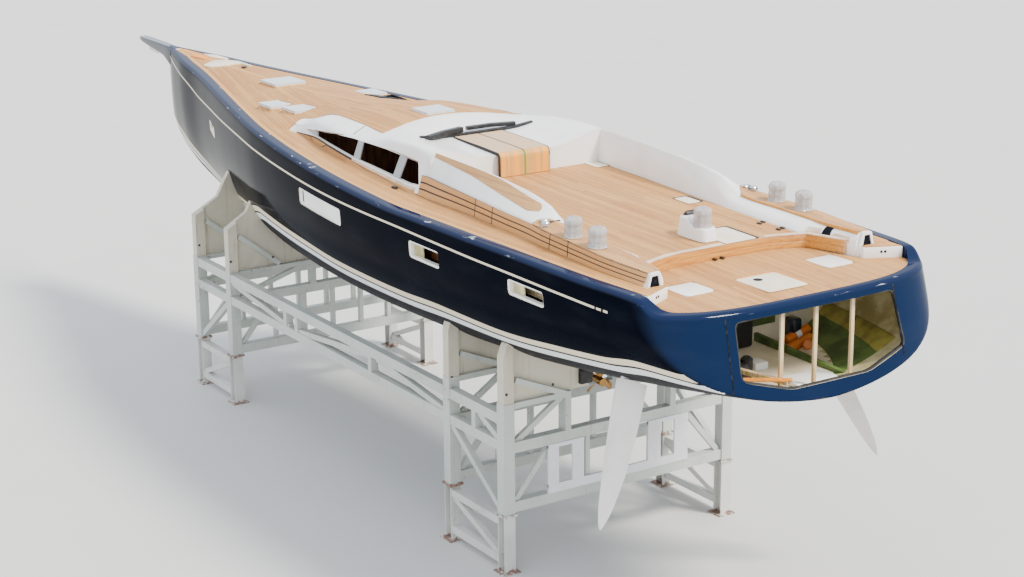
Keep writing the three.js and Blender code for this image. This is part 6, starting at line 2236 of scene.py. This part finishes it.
    def timber(self, palette: Palette) -> None:
        """The loose timbers and plank, the battens in the opening and the tray at their foot."""
        profile = bar(0.045, 0.035, 0.005, 2)
        timbers = [swept(np.array([[-11.3, 0.98, 4.6], [-12.72, 0.62, 4.6]]), profile),
                   swept(np.array([[-11.62, 0.83, 4.34], [-11.56, 0.85, 4.58]]), profile, (1, 0, 0))]
        made("garage_timbers", merged(timbers), palette.pine)
        plank = swept(np.array([[-12.25, 1.12, 4.62], [-12.72, 0.55, 4.64]]), rectangle((-0.07, -0.01), (0.07, 0.01)))
        made("garage_plank", plank, palette.raw_edge)
        for index, (x, y) in enumerate(self.battens, 1):
            batten = block((x - 0.022, y - 0.034, self.floor + 0.075), (x + 0.022, y + 0.034, 5.69))
            made(f"stern_batten_{index}", batten, palette.pine, replaces=(f"transom_batten_{index}",),
                 bevel=0.003)
        tray = block((-12.35, -0.72, self.floor + 0.002), (-11.9, 0.12, 4.37))
        made("garage_tray", tray, palette.white, bevel=0.02)


@dataclass
class CradleDetail:
    """The white insert between the aft frame's beams, and the bolts and end pads on the saddles."""

    aft: float = -7.6
    # Columns: lowest and highest y, lowest and highest z of the insert's bars
    bars: tuple = ((-1.47, 1.57, 1.3, 1.46), (-1.47, -0.58, 2.13, 2.2), (0.82, 1.57, 2.13, 2.2))
    uprights: tuple = ((1.35, 1.57), (0.82, 1.06), (-0.86, -0.58), (-1.47, -1.17))
    # Columns: x, y and z of the bolts to port
    bolts: tuple = ((-7.585, 2.42, 3.29), (-7.585, 1.47, 3.29), (-5.805, 2.42, 3.1), (-5.805, 1.45, 3.1),
                    (3.155, 2.44, 3.18), (3.155, 1.45, 3.13), (4.785, 2.42, 3.18))

    def build(self, palette: Palette) -> None:
        """Builds the insert, the bolts and the pads."""
        x0, x1 = self.aft + 0.002, self.aft + 0.045
        bars = [block((x0, y0, z0), (x1, y1, z1)) for y0, y1, z0, z1 in self.bars]
        bars += [block((x0 + 0.003, low, 1.4), (x1 - 0.003, high, 2.18)) for low, high in self.uprights]
        made("frame_insert", merged(bars), palette.insert)
        head = [(0, 0), (0.026, 0), (0.024, 0.012), (0, 0.012)]
        bolts = [lathe(head, (x, s * y, z), 16, (-1, 0, 0)) for x, y, z in self.bolts for s in (1, -1)]
        made("saddle_bolts", merged(bolts), palette.black)
        pads = [block((-7.59, low, 3.17), (-7.4, high, 3.43)) for low, high in ((0.63, 0.88), (-0.88, -0.63))]
        made("saddle_pads", merged(pads), palette.rubber, bevel=0.012)


@dataclass
class BowLocker:
    """The cream and orange pieces of the open bow locker, laid on the foredeck."""

    # Corners in x and y
    rim: tuple = ((8.49, 0.44), (8.72, 0.03), (8.67, -0.26), (8.51, -0.49), (7.75, -0.46), (7.8, -0.38),
                  (8.12, -0.36), (8.12, -0.2), (8.0, 0.07), (8.14, 0.42))
    tray: tuple = ((9.82, -0.16), (9.6, -0.4), (9.02, -0.47), (8.94, -0.34), (9.35, -0.14))
    foam: tuple = ((9.74, 0.2), (9.82, -0.04), (9.42, -0.1), (9.1, -0.02), (9.1, 0.15))

    def build(self, palette: Palette) -> None:
        """Builds the three pieces."""
        rows = (("rim", self.rim, palette.cream, 0.05), ("tray", self.tray, palette.cream, 0.03),
                ("foam", self.foam, palette.raw_edge, 0.035))
        for name, corners, material, high in rows:
            vertices, faces = prism(rounded(corners, 0.04), Plane.XY, 0.008, high)
            vertices[:, 2] += DECK.height(vertices[:, 0], vertices[:, 1])
            made(f"bow_locker_{name}", (vertices, faces), material, bevel=0.008)


@dataclass
class Studio:
    """The floor, the light and the camera of the picture."""

    camera_place: tuple = (-35.026, 20.018, 14.666)
    yaw: float = -32.867
    pitch: float = 16.252
    roll: float = -0.488
    lens: float = 71.6
    floor: Colour = rgb(206, 204, 200)
    sky: Colour = (0.78, 0.85, 0.95)
    sky_strength: float = 2.05
    sun: Colour = (1.0, 0.95, 0.86)
    sun_strength: float = 6.2
    sun_spread: float = 0.25
    sun_tilt: tuple = (21, -36)

    def build(self) -> None:
        """Builds the studio."""
        t = ShaderTree("studio_floor")
        cloud = t.noise(t.place(), 0.35, 4)
        material = t.surface(Base_Color=t.mix(cloud * 0.3, self.floor, rgb(180, 178, 174)), Roughness=0.7)
        corners = placed(rectangle((-90, -90), (90, 90)), Plane.XY, -0.002)
        floor = raw_object("floor", (corners, [[0, 1, 2, 3]]))
        floor.data.materials.append(material)
        self.light()
        self.aim()

    def light(self) -> None:
        """A pale sky, and a broad soft sun from astern to starboard."""
        world = bpy.data.worlds.new("sky")
        world.use_nodes = True
        back = world.node_tree.nodes["Background"]
        back.inputs["Color"].default_value = (*self.sky, 1)
        back.inputs["Strength"].default_value = self.sky_strength
        bpy.context.scene.world = world
        sun = bpy.data.lights.new("sun", "SUN")
        sun.energy, sun.angle, sun.color = self.sun_strength, self.sun_spread, self.sun
        lamp = bpy.data.objects.new("sun", sun)
        lamp.rotation_euler = (*(math.radians(v) for v in self.sun_tilt), 0)
        bpy.context.scene.collection.objects.link(lamp)

    def aim(self) -> None:
        """The camera, looking down from astern on the port quarter."""
        yaw, pitch, roll = (math.radians(v) for v in (self.yaw, self.pitch, self.roll))
        ahead = Vector((math.cos(pitch) * math.cos(yaw), math.cos(pitch) * math.sin(yaw), -math.sin(pitch)))
        right = ahead.cross(Vector((0, 0, 1))).normalized()
        up = right.cross(ahead)
        side = right * math.cos(roll) + up * math.sin(roll)
        top = up * math.cos(roll) - right * math.sin(roll)
        view = bpy.data.cameras.new("camera")
        view.lens, view.sensor_width, view.clip_end = self.lens, 36, 500
        camera = bpy.data.objects.new("camera", view)
        camera.matrix_world = Matrix.Translation(self.camera_place) @ Matrix((side, top, -ahead)).transposed().to_4x4()
        bpy.context.scene.collection.objects.link(camera)
        bpy.context.scene.camera = camera


# The CAD pieces that keep their own mesh


def dress(palette: Palette) -> None:
    """Gives the pieces that stay as they are a finish of their own."""
    looks = {
        palette.white: ("garage_bulkhead", "engine_beds"),
        palette.lid: tuple(f"hatch_lid_{name}"
                           for name in ("forward", "port_fore", "starboard_fore", "port_aft", "middle")),
        palette.steel: ("cradle_side_port", "cradle_side_starboard", *(f"cradle_cross_{key}" for key in "abcd")),
        palette.saddle: tuple(f"saddle_{key}_{side.word}" for key in "abcd" for side in Side),
        palette.cream: ("garage_locker",),
        palette.joinery: ("cabin_sole", "saloon_bulkhead_fore", "saloon_bulkhead_aft"),
        palette.bronze: ("propeller", "shaft_strut"),
        palette.engine: ("engine_block",),
        palette.black: ("keel_landing", "roof_rail"),
    }
    for material, names in looks.items():
        for name in names:
            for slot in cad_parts[name].material_slots:
                slot.material = material
        LOG.info("%s on %s", material.name, ", ".join(names))


def main() -> None:
    """Builds every piece in order."""
    logging.basicConfig(level=logging.INFO, format="%(message)s")
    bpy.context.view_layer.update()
    palette = Palette()
    hull = Hull()
    hull.build(palette)
    Stern().build(hull, palette)
    Bowsprit().build(palette)
    Deck().build(palette)
    COAMING.build(palette)
    Cockpit().build(palette)
    Decking().build(palette)
    for side in Side:
        Console().build(side, palette)
        Rudder().build(hull, side, palette)
    # Columns: name, then x, y and z of the foot
    winches = (("port_fore", -9.13, 2.11, 6.352), ("port_aft", -9.81, 2.12, 6.335),
               ("starboard_fore", -9.13, -2.11, 6.352), ("starboard_aft", -9.81, -2.12, 6.335),
               ("pedestal", -9.77, 0.0, 6.34))
    for name, *place in winches:
        Winch().build(name, place, palette)
    Pedestal().build(palette)
    Cover().build(palette)
    Garage().build(palette)
    CradleDetail().build(palette)
    BowLocker().build(palette)
    dress(palette)
    Studio().build()


if __name__ == "__main__":
    main()
